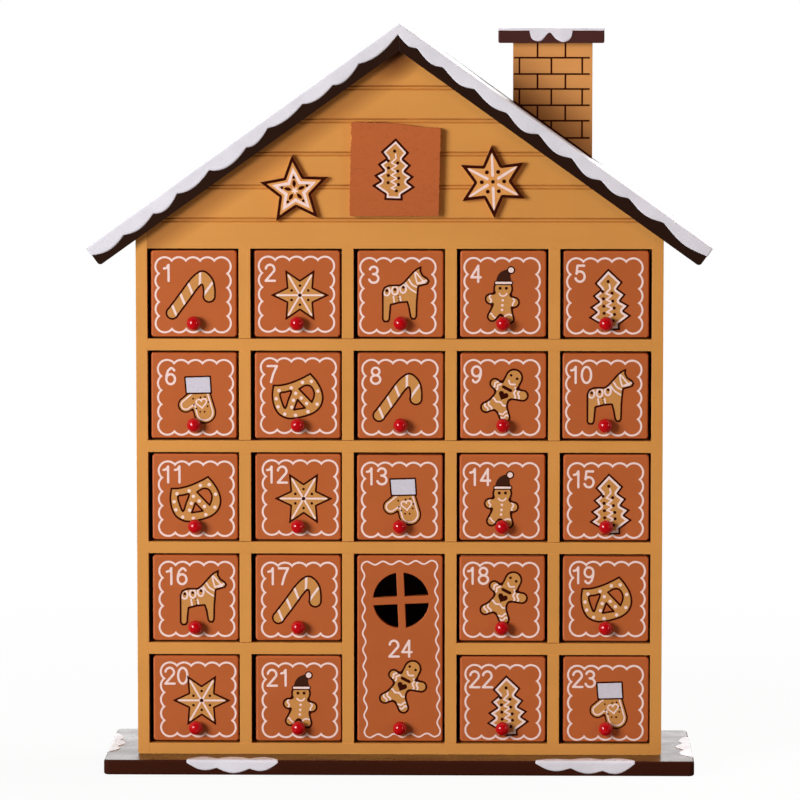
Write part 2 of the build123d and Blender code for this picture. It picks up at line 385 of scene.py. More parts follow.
def heart(centre, size, turn):
    """Outline of a heart: a fixed wave of the turning angle, scaled to its width."""
    t = np.linspace(0, 2 * pi, 40, endpoint=False)
    across = 16 * np.sin(t) ** 3
    up = 13 * np.cos(t) - 5 * np.cos(2 * t) - 2 * np.cos(3 * t) - np.cos(4 * t) + 2.5
    points = np.column_stack([across, up]) * size / 32
    c, s = cos(turn), sin(turn)
    return points @ np.array([[c, s], [-s, c]]) + np.asarray(centre)


# Meshes, as points and faces


def edge_lines(shape, field, step):
    """Where a shape's edge crosses a grid: points between nodes of unlike sign, placed in proportion to
    the two distances, and the short lines that join them through each cell."""
    left, bottom, right, top = field
    across, up = np.meshgrid(np.arange(left, right + step, step), np.arange(bottom, top + step, step))
    reach = shape(across, up)
    reach = np.where(reach == 0, 1e-9, reach)
    inside = reach < 0
    level = inside[:, :-1] != inside[:, 1:]
    upright = inside[:-1] != inside[1:]
    level_id = np.full(level.shape, -1)
    level_id[level] = np.arange(level.sum())
    upright_id = np.full(upright.shape, -1)
    upright_id[upright] = level.sum() + np.arange(upright.sum())
    share = (reach[:, :-1] / (reach[:, :-1] - reach[:, 1:] + (~level)))[level]
    level_points = np.column_stack([across[:, :-1][level] + step * share, up[:, :-1][level]])
    share = (reach[:-1] / (reach[:-1] - reach[1:] + (~upright)))[upright]
    upright_points = np.column_stack([across[:-1][upright], up[:-1][upright] + step * share])
    points = np.vstack([level_points, upright_points])
    sides = np.stack([level_id[:-1], upright_id[:, 1:], level_id[1:], upright_id[:, :-1]], -1)
    crossings = (sides >= 0).sum(-1)
    single = sides[crossings == 2]
    order = np.argsort(single < 0, axis=1, kind="stable")[:, :2]
    lines = [np.take_along_axis(single, order, 1)]
    saddle = sides[crossings == 4]
    middle = (reach[:-1, :-1] + reach[:-1, 1:] + reach[1:, :-1] + reach[1:, 1:])[crossings == 4]
    corner_in = inside[:-1, :-1][crossings == 4]
    apart = ((middle < 0) != corner_in)[:, None]
    lines.append(np.where(apart, saddle[:, [0, 3]], saddle[:, [0, 1]]))
    lines.append(np.where(apart, saddle[:, [1, 2]], saddle[:, [3, 2]]))
    return points, np.vstack(lines)


def flat_slab(shape, field, low, high, step=0.2):
    """A closed slab of a flat shape between two heights: triangles fill the outline, the same ones
    turned over close the back, and walls stand on the outline. Gives right, up, height and the faces."""
    points, lines = edge_lines(shape, field, step)
    made = delaunay_2d_cdt(points.tolist(), lines.tolist(), [], 0, 1e-5)
    flat = np.array([tuple(p) for p in made[0]])
    triangles = np.array(made[2])
    middles = flat[triangles].mean(1)
    triangles = triangles[shape(middles[:, 0], middles[:, 1]) < 0]
    a, b, c = (flat[triangles[:, k]] for k in range(3))
    turned = (b[:, 0] - a[:, 0]) * (c[:, 1] - a[:, 1]) < (b[:, 1] - a[:, 1]) * (c[:, 0] - a[:, 0])
    triangles[turned] = triangles[turned][:, ::-1]
    used, triangles = np.unique(triangles, return_inverse=True)
    triangles = triangles.reshape(-1, 3)
    flat = flat[used]
    count = len(flat)
    sides = np.vstack([triangles[:, [0, 1]], triangles[:, [1, 2]], triangles[:, [2, 0]]])
    key = sides[:, 0] * count + sides[:, 1]
    rim = sides[~np.isin(key, sides[:, 1] * count + sides[:, 0])]
    walls = np.column_stack([rim[:, 1], rim[:, 0], rim[:, 0] + count, rim[:, 1] + count])
    solid = np.vstack([np.column_stack([flat, np.full(count, z)]) for z in (high, low)])
    return solid, triangles.tolist() + (triangles[:, ::-1] + count).tolist() + walls.tolist()


def grid_faces(rows, columns, closed=False):
    """Four-cornered faces over a grid of points, and round to the first column where it is closed."""
    j, i = np.meshgrid(np.arange(rows - 1), np.arange(columns if closed else columns - 1), indexing="ij")
    k = (i + 1) % columns
    faces = np.stack([j * columns + i, j * columns + k, (j + 1) * columns + k, (j + 1) * columns + i], -1)
    return faces.reshape(-1, 4).tolist()


def turned_bead(radius, length, rings=18, sides=36):
    """A bead turned about its axis: the radius follows a circle from the flat seat to the tip, and
    the last ring and the seat close in a fan."""
    seat_angle = 0.55
    angle = np.linspace(seat_angle - pi / 2, pi / 2, rings)
    profile = radius * np.cos(angle)
    height = np.sin(angle)
    height = (height - height[0]) / (height[-1] - height[0]) * length
    turn = evenly_round(sides)
    ring_x = profile[:-1, None] * np.cos(turn)
    ring_y = profile[:-1, None] * np.sin(turn)
    ring_z = np.repeat(height[:-1, None], sides, 1)
    points = np.stack([ring_x, ring_y, ring_z], -1).reshape(-1, 3)
    points = np.vstack([points, [(0, 0, length)], [(0, 0, 0)]])
    tip, seat = len(points) - 2, len(points) - 1
    first = np.arange(sides)
    last = (rings - 2) * sides + first
    faces = grid_faces(rings - 1, sides, True)
    faces += np.column_stack([last, np.roll(last, -1), np.full(sides, tip)]).tolist()
    faces += np.column_stack([np.roll(first, -1), first, np.full(sides, seat)]).tolist()
    return points, faces


# Pieces


def box_of(node):
    """The lowest and the highest corner of a node, in millimetres."""
    return [np.array(corner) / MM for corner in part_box(node)]


def on_front(solid, shift, face_y):
    """Right, up and height on an upright face that looks to the front, as points of the house."""
    return np.column_stack([solid[:, 0] + shift[0], face_y - solid[:, 2], solid[:, 1] + shift[1]])


def put_mesh(name, mesh, materials, body, node):
    """A mesh as a piece that rides on a body and the node that it stands for, if any."""
    for material in materials:
        mesh.materials.append(material)
    piece = bpy.data.objects.new(name, mesh)
    bpy.context.scene.collection.objects.link(piece)
    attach(piece, body)
    if node:
        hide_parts(node)
    return piece


def put_piece(name, points, faces, materials, body="house", node=None, paints=None, smooth=False):
    """A piece from points in millimetres."""
    mesh = bpy.data.meshes.new(name)
    mesh.from_pydata((np.asarray(points) * MM).tolist(), [], faces)
    piece = put_mesh(name, mesh, materials, body, node)
    if paints is not None:
        mesh.polygons.foreach_set("material_index", np.asarray(paints, np.int32))
    mesh.polygons.foreach_set("use_smooth", np.full(len(mesh.polygons), smooth))
    mesh.validate()
    mesh.update()
    return piece


def ease(piece, width, limit):
    """Rounds the edges whose faces meet at more than a limit in degrees."""
    easing = piece.modifiers.new("easing", "BEVEL")
    easing.width = width
    easing.segments = 2
    easing.limit_method = "ANGLE"
    easing.angle_limit = radians(limit)
    return easing


def eased_copy(node, name, materials, width, body="house", limit=25.0):
    """The node's own boards with merged corners and eased edges, standing for the node. The eased edges
    take the last of the materials."""
    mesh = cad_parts[node].data.copy()
    mesh.name = name
    work = bmesh.new()
    work.from_mesh(mesh)
    bmesh.ops.remove_doubles(work, verts=work.verts, dist=2e-6)
    bmesh.ops.dissolve_limit(work, angle_limit=radians(0.5), verts=work.verts, edges=work.edges)
    work.to_mesh(mesh)
    work.free()
    mesh.polygons.foreach_set("use_smooth", np.ones(len(mesh.polygons), bool))
    mesh.set_sharp_from_angle(angle=radians(limit))
    mesh.materials.clear()
    piece = put_mesh(name, mesh, materials, body, node)
    if width:
        easing = ease(piece, width, limit)
        easing.harden_normals = True
        easing.material = len(materials) - 1
    return piece


# Materials. Every pattern reads the piece's own coordinates.


class Nodes:
    """A node tree under construction, with short ways to add its parts."""

    def __init__(self, tree, coordinates):
        self.tree = tree
        self.place = self.add("ShaderNodeTexCoord").outputs[coordinates]

    def feed(self, node, values):
        """Links sockets to what comes out of other nodes, or sets them to plain values."""
        for key, value in values.items():
            socket = node.inputs[key]
            if isinstance(value, bpy.types.NodeSocket):
                self.tree.links.new(value, socket)
            else:
                socket.default_value = (*value, 1.0) if socket.type == "RGBA" else value

    def add(self, kind, values=None, **settings):
        """A new node with its settings and the values of its sockets."""
        node = self.tree.nodes.new(kind)
        for key, value in settings.items():
            setattr(node, key, value)
        self.feed(node, values or {})
        return node

    def noise(self, scale, detail, stretch=(1.0, 1.0, 1.0)):
        """Cloudy values about a half; stretch squeezes the pattern along an axis."""
        place = self.add("ShaderNodeMapping", {"Vector": self.place, "Scale": stretch}).outputs["Vector"]
        values = {"Vector": place, "Scale": scale, "Detail": detail, "Roughness": 0.55}
        return self.add("ShaderNodeTexNoise", values).outputs["Fac"]

    def spread(self, value, low, high, to_low=0.0, to_high=1.0):
        """Values between two limits spread over another range."""
        limits = {"From Min": low, "From Max": high, "To Min": to_low, "To Max": to_high}
        return self.add("ShaderNodeMapRange", {"Value": value, **limits}).outputs["Result"]

    def clouds(self, scale, detail, low=0.3, high=0.7, to=(0.0, 1.0), stretch=(1.0, 1.0, 1.0)):
        """Cloudy values spread over a range."""
        return self.spread(self.noise(scale, detail, stretch), low, high, *to)

    def maths(self, operation, first, second):
        return self.add("ShaderNodeMath", {0: first, 1: second}, operation=operation).outputs["Value"]

    def product(self, first, second):
        return self.maths("MULTIPLY", first, second)

    def between(self, share, first, second):
        """One number turning into another."""
        return self.add("ShaderNodeMix", {0: share, 2: first, 3: second}).outputs[0]

    def mixed(self, share, first, second):
        """One colour turning into another."""
        return self.add("ShaderNodeMix", {0: share, 6: first, 7: second}, data_type="RGBA").outputs[2]

    def drift(self, share, colour, dark, light):
        """A colour that drifts between two shades of itself."""
        return self.mixed(share, shade(colour, dark), shade(colour, light))

    def axis(self, name):
        return self.add("ShaderNodeSeparateXYZ", {"Vector": self.place}).outputs[name]

    def distance(self, point):
        node = self.add("ShaderNodeVectorMath", {0: self.place, 1: point}, operation="DISTANCE")
        return node.outputs["Value"]

    def over_slope(self, start, rise):
        """Height over a slope that rises to the right and passes a height above the middle."""
        slope = self.maths("ADD", self.product(self.axis("X"), rise), start)
        return self.maths("SUBTRACT", self.axis("Z"), slope)


class Paint(Nodes):
    """A painted material under construction."""

    def __init__(self, name):
        self.material = bpy.data.materials.new(name)
        self.material.use_nodes = True
        super().__init__(self.material.node_tree, "Object")
        self.shader = self.tree.nodes["Principled BSDF"]

    def coat(self, colour, rough, ior=SATIN_IOR):
        self.feed(self.shader, {"Base Color": colour, "Roughness": rough, "IOR": ior})

    def over(self, share, colour):
        """Lays a share of another colour over the paint so far."""
        base = self.shader.inputs["Base Color"].links[0].from_socket
        self.feed(self.shader, {"Base Color": self.mixed(share, base, colour)})

    def bump(self, height, distance):
        """Raises the skin by a pattern, on top of any earlier one."""
        values = {"Height": height, "Distance": distance}
        earlier = self.shader.inputs["Normal"].links
        if earlier:
            values["Normal"] = earlier[0].from_socket
        self.feed(self.shader, {"Normal": self.add("ShaderNodeBump", values).outputs["Normal"]})


def shade(colour, share):
    """A colour made lighter or darker."""
    return tuple(min(1.0, channel * share) for channel in colour)


def brushed_paint(name, colour, rough, variation, orange_peel=0.04 * MM, ior=SATIN_IOR):
    """Satin or gloss paint over wood: broad clouds of tone, faint long brush streaks, fine dust specks,
    uneven gloss and a slightly pebbled skin."""
    paint = Paint(name)
    streaks = paint.clouds(90, 3, 0.25, 0.75, stretch=(0.12, 1.0, 1.0))
    tone = paint.maths("ADD", paint.clouds(14, 4, to=(0.0, 0.65)), paint.product(streaks, 0.35))
    gloss = paint.clouds(60, 3, to=(rough - 0.06, rough + 0.08))
    paint.coat(paint.drift(tone, colour, 1 - variation, 1 + variation), gloss, ior)
    paint.over(paint.clouds(1500, 1, 0.735, 0.78, (0.0, 0.35)), shade(colour, 1.5))
    paint.bump(paint.noise(700, 2), orange_peel)
    paint.bump(streaks, orange_peel)
    return paint


def gable_paint(colours):
    """Ochre paint, stained brown along the grooves, fading in and out along the board. Painted shade darkens
    the tip under the ridge, and a soft band of painted shadow lies under the left roof."""
    paint = brushed_paint("gable_ochre", colours.ochre, 0.42, 0.07)
    height = paint.axis("Z")
    lowest, highest = GROOVE_COURSES
    step = 0.2 * MM
    fade = paint.clouds(30, 4, 0.32, 0.66, (0.3, 1.0), (1.0, 1.0, 0.2))
    fade = paint.product(fade, paint.spread(height, lowest, lowest + step))
    fade = paint.product(fade, paint.spread(height, highest, highest - step))
    for middle, width, strength in GROOVE_STAINS:
        offset = paint.maths("ADD", height, 20 * GROOVE_PITCH - middle)
        offset = paint.maths("PINGPONG", offset, GROOVE_PITCH / 2)
        near = paint.spread(offset, width * 0.5, width * 0.2, 0.0, strength)
        paint.over(paint.product(near, fade), colours.groove)
    # Painted shade: the gable darkens towards its tip under the ridge
    near = paint.spread(paint.distance(GABLE_TIP), 17 * MM, 4 * MM, 0.0, 0.9)
    paint.over(near, shade(colours.glaze, 0.17))
    # Painted shadow: a soft band below the left roof's underside, lighter right at the edge, darkest 6 to 8.5
    # mm below it and gone by 19 mm
    under = paint.over_slope(GABLE_TIP[2], ROOF_RISE)
    near = paint.spread(under, -19 * MM, -8.5 * MM, 0.0, 0.48)
    near = paint.product(near, paint.spread(under, -1 * MM, -6 * MM, 0.6))
    paint.over(near, colours.glaze)
    return paint.material


def worn_edge(name, colour, lift):
    """Paint rubbed thin along an edge: lighter, in patches, and duller."""
    paint = Paint(name)
    patches = paint.clouds(110, 4, 0.36, 0.62)
    paint.coat(paint.drift(patches, colour, 1.0, lift), paint.spread(patches, 0, 1, 0.42, 0.58))
    paint.bump(paint.noise(700, 2), 0.04 * MM)
    return paint.material


def front_paint(colours, name, lift):
    """Terracotta paint on the front boards, and stained wood with grain on the trays behind them."""
    paint = brushed_paint(name, shade(colours.terracotta, lift), 0.44, 0.07)
    grain = paint.clouds(260, 5, stretch=(1.0, 0.06, 1.0))
    paint.over(paint.spread(paint.axis("Y"), *TRAY_START), paint.drift(grain, colours.tray, 0.75, 1.25))
    return paint.material


def plaque_paint(colours):
    """Terracotta paint on sawn board: short level pores and a rough skin."""
    paint = brushed_paint("plaque_terracotta", colours.terracotta, 0.6, 0.08)
    pores = paint.clouds(1500, 3, 0.58, 0.74, stretch=(0.4, 1.0, 1.0))
    paint.over(paint.product(pores, 0.22), shade(colours.terracotta, 0.5))
    paint.bump(paint.product(pores, -1.0), 0.11 * MM)
    return paint.material


def snow_paint(name, colour):
    """White paint laid on thick by brush, softly glossy: faint grey clouds and long low ridges."""
    paint = Paint(name)
    tone = paint.drift(paint.clouds(45, 5, 0.3, 0.72), colour, 0.9, 1.06)
    paint.coat(tone, paint.clouds(160, 3, to=(0.2, 0.32)), 1.4)
    paint.bump(paint.noise(300, 4, (0.3, 1.0, 0.6)), 0.03 * MM)
    return paint.material


def print_paint(name, colour, rough, ior):
    """A printed coat: grains of thinner and thicker ink, with uneven gloss."""
    paint = Paint(name)
    grains = paint.clouds(900, 3)
    gloss = paint.clouds(300, 2, to=(rough - 0.06, rough + 0.06))
    paint.coat(paint.drift(grains, colour, 0.93, 1.05), gloss, ior)
    paint.bump(grains, 0.02 * MM)
    return paint.material


def star_paint(colours):
    """Tan paint on the stars' faces, and pale sawn wood with grain on their edges."""
    paint = Paint("star_wood")
    grain = paint.clouds(300, 4, stretch=(1.0, 4.0, 0.25))
    paint.coat(paint.drift(grain, colours.raw_wood, 0.75, 1.1), paint.spread(grain, 0, 1, 0.45, 0.62))
    face = paint.drift(paint.clouds(60, 4), colours.star_face, 0.93, 1.06)
    paint.over(paint.spread(paint.axis("Y"), *STAR_FRONT), face)
    paint.bump(grain, 0.04 * MM)
    return paint.material


def knob_lacquer(colours):
    """Thick red lacquer over a turned bead: a hard clear gloss, faint ripples and small drifts of tone."""
    paint = Paint("knob_lacquer")
    drift = paint.clouds(350, 3)
    paint.coat(paint.drift(drift, colours.knob, 0.85, 1.05), paint.spread(drift, 0, 1, 0.32, 0.42), DULL_IOR)
    paint.bump(paint.noise(500, 2), 0.02 * MM)
    paint.feed(paint.shader, {"Coat Weight": 0.9, "Coat Roughness": 0.04})
    return paint.material


def stored(name, maker, *look):
    """The material of that name, made where it isn't there yet."""
    return bpy.data.materials.get(name) or maker(name, *look)


def print_materials(colours):
    inks = (
        ("print_icing", colours.icing, 0.5, SATIN_IOR),
        ("print_cookie", colours.cookie, 0.48, SATIN_IOR),
        ("print_line", colours.line, 0.5, DULL_IOR),
        ("print_cuff", colours.cuff, 0.5, SATIN_IOR),
        ("print_cap", colours.printed_cap, 0.5, DULL_IOR),
    )
    return [stored(name, print_paint, *look) for name, *look in inks]


def snow_material(colours):
    return stored("snow_white", snow_paint, colours.snow)


# Printed pictures. Each gives layers: a paint, a coat counted from the board, and a shape in millimetres
# about the middle of the border.


def cookie_layers(body, outline, icing, marks=()):
    """A dark shape, the same one in tan, smaller by the outline, icing and dark marks."""
    layers = [(LINE, 1, grown(body, 0.15)), (COOKIE, 2, grown(body, -outline)), (ICING, 3, icing)]
    return layers + ([(LINE, 4, joined(*marks))] if marks else [])


def kept_inside(lines, body, outline):
    """Lines of icing, cut off at a cookie's outline."""
    return common(joined(*lines), grown(body, -outline))


def dots(places, radius):
    return [disc(place, radius) for place in places]


def laid(layers, shift=(0.0, 0.0), turn=0.0, size=1.0):
    """A picture's layers enlarged, turned and moved together."""
    return [(paint, coat, placed(shape, shift, turn, size)) for paint, coat, shape in layers]


def candy_cane(outline):
    """A thick hooked line with slanting bands."""
    foot, tip = (-11.1, -9.7), (8.5, -0.7)
    middle = smooth_line([foot, (-5.0, -1.6), (0.5, 5.9), (4.7, 9.4), (7.7, 6.8), (8.6, 2.4), tip])
    body = joined(stroke(middle, 6.7), *dots((foot, tip), 3.45), disc((4.9, 9.0), 4.0))
    bands = (
        ((-11.3, -5.2), (-9.0, -10.8)),
        ((-6.9, 0.9), (-4.4, -5.2)),
        ((-2.7, 6.4), (-0.3, 0.4)),
        ((3.8, 13.0), (3.6, 4.8)),
        ((10.2, 6.4), (5.6, 0.0)),
    )
    stripes = [stroke(band, 1.3) for band in bands]
    return cookie_layers(body, outline, kept_inside(stripes, body, outline))


def spiced_star(outline):
    """A six-pointed star with a tip at each side, spokes and dots."""
    body = polygon(star_corners(6, 15.3, 15.3 * 0.52, 0.0))
    spokes = [stroke([(0, 0), ray(angle, 12.0)], 1.0) for angle in evenly_round(6)]
    spots = dots([ray(angle, 5.1) for angle in evenly_round(6, pi / 6)], 0.72)
    layers = cookie_layers(body, outline, joined(*spokes), [disc((0, 0), 1.0), *spots])
    return laid(layers, (1.8, -0.5))


def folk_horse(outline):
    """A standing horse with a saddle of rings, neck bands and a bridle."""
    body = polygon([
        (11.5, 15.2), (11.3, 12.6), (12.4, 10.6), (14.6, 9.2), (15.7, 7.6), (14.9, 6.0), (10.2, 4.6),
        (9.9, 1.5), (9.5, -3.0), (9.3, -10.8), (8.4, -12.3), (6.7, -12.3), (5.7, -11.2), (4.8, -6.0),
        (4.0, -3.5), (0.3, -3.8), (-4.0, -4.9), (-4.7, -12.4), (-5.6, -13.7), (-7.8, -13.7), (-8.7, -12.3),
        (-8.7, 2.0), (-7.7, 4.4), (-5.0, 5.6), (0.5, 5.7), (2.4, 7.1), (7.0, 12.3), (9.0, 14.0),
    ])
    saddle = ((-6.3, 2.2), (-2.1, 2.7), (2.1, 3.6))
    lines = [stroke(arc(place, (1.55, 2.15), 0, 360, 20), 0.95) for place in saddle]
    straps = (
        ((3.0, 7.2), (5.4, 3.9), (8.8, 1.6)),
        ((4.8, 8.8), (6.8, 5.8), (9.6, 4.2)),
        ((8.0, 12.8), (8.6, 9.4), (9.5, 6.2)),
        ((8.0, 12.8), (10.4, 10.0), (12.6, 7.4)),
        ((9.5, 6.2), (12.6, 7.4), (14.4, 8.0)),
        ((10.8, 6.4), (13.4, 6.8)),
        ((-2.9, -0.4), (-2.4, -3.6)),
        ((0.5, -0.4), (0.9, -3.0)),
    )
    lines += [stroke(smooth_line(strap) if len(strap) > 2 else strap, 0.85) for strap in straps]
    spots = dots(((-6.2, 2.6), (-2.1, 3.2), (2.3, 4.3)), 0.72)
    spots += dots(((-0.6, 0.0), (-0.3, -1.4), (0.0, -2.7)), 0.36)
    layers = cookie_layers(body, outline, kept_inside(lines, body, outline), spots)
    return laid(layers, (0.6, 0.0), size=1.03)


def capped_figure(outline):
    """A gingerbread figure in a dark cap with a white band and bobble."""
    body = melted(
        1.6,
        disc((0.6, 3.6), 5.0),
        stroke([(0.2, -1.6), (0.2, -5.6)], 8.6),
        stroke([(-1.5, -1.4), (-5.9, -1.7)], 5.8),
        stroke([(1.8, -2.6), (6.2, -3.5)], 5.8),
        stroke([(-1.8, -6.0), (-5.0, -10.8)], 6.6, 5.4),
        stroke([(1.6, -6.0), (3.8, -12.0)], 6.6, 5.3),
    )
    cap = [
        (-2.9, 7.2), (-2.3, 9.5), (-0.7, 11.8), (1.9, 13.1), (4.9, 13.6), (4.1, 11.4), (4.1, 9.2), (4.7, 7.2),
    ]
    band, bobble = [(-3.0, 6.6), (4.6, 6.6)], (4.6, 13.2)
    cuffs = (
        ((-5.6, 0.6), (-6.5, -0.9), (-5.5, -2.3), (-6.2, -4.2)),
        ((5.2, -0.9), (6.4, -2.6), (5.6, -4.0), (5.4, -6.0)),
        ((-7.4, -9.8), (-5.6, -9.2), (-4.6, -10.6), (-3.2, -11.6)),
        ((0.4, -11.3), (2.2, -10.1), (3.6, -9.7), (5.6, -10.4)),
    )
    icing = [stroke(smooth_line(cuff), 0.8) for cuff in cuffs]
    icing.append(stroke(arc((0.5, 1.7), (2.0, 1.9), 200, 340), 0.75))
    icing += dots(((0.4, -2.4), (0.2, -5.0), (0.0, -7.4)), 0.66)
    eyes = dots(((-1.0, 3.8), (2.2, 3.8)), 0.8)
    layers = cookie_layers(body, outline, kept_inside(icing, body, outline)) + [
        (CAP, 3, polygon(smooth_line(cap, steps=4), 0.25)),
        (LINE, 4, joined(stroke(band, 2.3), disc(bobble, 2.05), *eyes)),
        (ICING, 5, joined(stroke(band, 1.1), disc(bobble, 1.4))),
    ]
    return laid(layers, size=1.03)


def iced_tree(outline, centre=(2.6, -1.9), turn=radians(2.8), spread=1.04, icing=1.15):
    """A fir of four tiers on a trunk, with an iced rim, an icing zigzag and dots."""
    drops = (0, 7.4, 10.8, 14.0, 17.2, 20.0, 22.7, 25.4, 29.9, 32.6)
    halves = (0, 7.2, 4.45, 8.5, 5.7, 10.2, 7.2, 11.0, 4.45, 4.6)
    right = np.column_stack([halves, 16.3 - np.array(drops)])
    left = right[:0:-1] * (-spread, 1)
    body = polygon(np.vstack([right, left]))
    zigzag = [
        (0.2, 8.0), (0.5, 5.8), (-1.9, 3.4), (1.0, 2.0), (-1.8, 0.0), (1.2, -1.4),
        (-1.8, -3.2), (1.3, -4.8), (-1.8, -6.6), (1.4, -8.2), (-1.6, -10.0), (1.2, -11.0),
    ]
    spots = [
        (-0.4, 9.6), (-3.6, 4.4), (1.4, 3.4), (-3.3, 0.6), (1.6, -0.9),
        (-3.3, -3.4), (2.2, -4.6), (-3.3, -7.2), (2.2, -8.0), (1.2, -11.4),
    ]
    iced = joined(ring(body, outline, outline + icing), stroke(zigzag, 0.8 * icing))
    return laid(cookie_layers(body, outline, iced, dots(spots, 0.85)), centre, turn)


def iced_mitten(outline):
    """A mitten with a white cuff, an iced line inside its edge, a heart and dots."""
    hand = melted(
        1.2,
        stroke([(2.6, 0.6), (4.9, -8.0)], 11.8, 12.2),
        stroke([(0.2, 0.2), (-5.2, -4.0)], 9.0, 8.6),
    )
    cuff = polygon([(-5.4, 10.6), (7.6, 11.0), (8.1, 2.6), (-4.7, 2.3)], 0.7)
    spots = [
        (-1.3, -0.7), (2.6, 0.0), (5.0, 0.3), (6.8, -2.4), (6.4, -4.8),
        (4.8, -7.7), (2.4, -7.7), (0.4, -6.0), (-0.9, -4.0),
    ]
    love = heart((3.2, -3.4), 5.6, radians(8))
    icing = joined(ring(hand, 1.5, 2.25), stroke(np.vstack([love, love[:1]]), 0.75))
    return [
        (LINE, 1, joined(hand, cuff)),
        (COOKIE, 2, without(grown(hand, -outline), cuff)),
        (ICING, 3, without(icing, cuff)),
        (CUFF, 4, grown(cuff, -outline)),
        (LINE, 4, joined(*dots(spots, 0.5))),
    ]


def salted_pretzel(outline):
    """A plump pretzel with three holes and grains of salt."""
    brow = smooth_line([(-13.2, 5.6), (-8.7, 5.8), (-3.4, 7.2), (1.9, 9.5), (6.2, 11.8)])
    bowl = smooth_line([
        (6.2, 11.8), (9.3, 8.2), (12.0, 3.4), (12.9, -1.3), (11.7, -5.6), (8.7, -8.7), (4.5, -10.6),
        (-1.5, -12.0), (-6.0, -12.0), (-10.2, -9.9), (-12.8, -5.8), (-13.8, 0.0), (-13.2, 5.6),
    ])
    left_hole = [(-9.5, 1.2), (-6.6, 1.9), (-3.7, 2.3), (-5.3, -2.3), (-6.9, -6.6), (-8.8, -2.6)]
    right_hole = [(0.3, 3.5), (3.4, 5.3), (6.2, 5.0), (7.9, 2.4), (8.0, -0.3), (6.9, -3.4)]
    holes = (
        polygon(smooth_line(left_hole, True, 3)),
        polygon(smooth_line(right_hole, steps=4)),
        polygon([(-0.5, -2.1), (3.4, -6.4), (-2.4, -7.3)]),
    )
    body = without(polygon(np.vstack([brow[:-1], bowl[:-1]])), *[grown(hole, -0.35) for hole in holes])
    salt = [
        (2.1, 6.9), (6.7, 7.4), (-3.7, 4.1), (-10.0, 2.6), (10.0, 2.4), (-1.5, 1.2), (-11.5, -1.6), (1.5, -1.2),
        (-2.6, -2.4), (4.2, -4.0), (9.6, -4.4), (-10.6, -5.8), (-3.5, -6.0), (4.9, -8.3), (-7.1, -9.6),
        (-1.6, -10.2),
    ]
    return laid(cookie_layers(body, outline, joined(*dots(salt, 0.9))), size=1.03)


def leaning_figure(outline, centre=(1.1, 0.5)):
    """A gingerbread figure that leans back, with iced cuffs, a collar and a heart."""
    body = melted(
        1.8,
        stroke([(5.2, 9.8), (3.9, 7.2)], 9.0),
        stroke([(1.2, 3.6), (-2.6, -2.6)], 8.4, 8.8),
        stroke([(-1.0, 3.6), (-4.6, 6.8)], 5.6),
        stroke([(2.6, 1.6), (9.6, 0.5)], 5.8, 6.0),
        stroke([(-3.4, -3.0), (-9.2, -5.5)], 6.6, 5.8),
        stroke([(-2.0, -4.0), (0.4, -10.6)], 6.6, 5.8),
    )
    cuffs = (
        ((-6.8, 3.4), (-2.6, 8.8)), ((-5.2, 2.2), (-1.4, 7.4)),
        ((5.8, 4.6), (5.2, -3.0)), ((7.8, 4.4), (7.2, -3.2)),
        ((-8.6, -1.0), (-5.6, -9.0)), ((-10.4, -1.6), (-7.6, -9.4)),
        ((-3.6, -9.4), (4.0, -7.4)), ((-3.0, -11.4), (4.0, -9.4)),
    )
    icing = [stroke(wave(start, end, 2.0, 0.45), 0.9) for start, end in cuffs]
    icing.append(stroke(wave((-6.4, -0.6), (2.6, -5.8), 2.5, 0.4, 24), 0.9))
    icing.append(stroke(smooth_line([(2.5, 8.4), (3.2, 6.5), (5.7, 6.3)]), 0.85))
    marks = dots(((3.7, 11.0), (6.7, 9.2)), 0.7)
    marks.append(stroke([(-0.2, 5.0), (3.4, 3.1)], 1.6))
    marks.append(polygon(heart((-0.6, 0.2), 5.2, radians(-26))))
    layers = cookie_layers(body, outline, kept_inside(icing, body, outline), marks)
    return laid(layers, centre, size=1.035)


def five_star_icing(star, turn):
    """A starry band of icing with dark petals and dots about a small glazed middle."""
    petals, spots = [], []
    for angle in evenly_round(5, turn):
        middle, aside = ray(angle, 3.8), ray(angle + pi / 2, 1.52)
        petals.append(common(disc(middle + aside, 2.47), disc(middle - aside, 2.47)))
        spots.append(disc(ray(angle, 7.0), 0.77))
    rays = [stroke([(0, 0), ray(angle, 1.5)], 0.7) for angle in evenly_round(5, turn + pi / 5)]
    band = without(polygon(star_corners(5, 12.4, 5.9, turn)), polygon(star_corners(5, 9.2, 3.9, turn)))
    return [
        (LINE, 1, ring(star, 0.1, 1.6)),
        (ICING, 1, joined(band, disc((0, 0), 1.0), *rays)),
        (LINE, 2, joined(*petals, *spots)),
    ]


def six_star_icing(star, turn):
    """Tapering spokes of icing with dark dots between them."""
    spokes = [stroke([ray(angle, 3.4), ray(angle, 15.6)], 1.6, 1.1) for angle in evenly_round(6, turn)]
    spots = dots([ray(angle, 5.9) for angle in evenly_round(6, turn + pi / 6)], 1.05)
    return [
        (LINE, 1, ring(star, 0.1, 1.65)),
        (ICING, 1, common(joined(*spokes), grown(star, -1.8))),
        (LINE, 2, joined(disc((0, 0), 1.0), *spots)),
    ]


# The gable's two stars: name, icing, middle right and up, arms, reach of the tips, share of it at the
# waists, turn in degrees, and how much larger the painted star is than the node's
STARS = (
    ("five_star_icing", five_star_icing, (-55.3, 310.1), 5, 18.6, 0.47, 4.5, 1.027),
    ("six_star_icing", six_star_icing, (49.5, 314.9), 6, 18.7, 0.52, 2.3, 1.033),
)

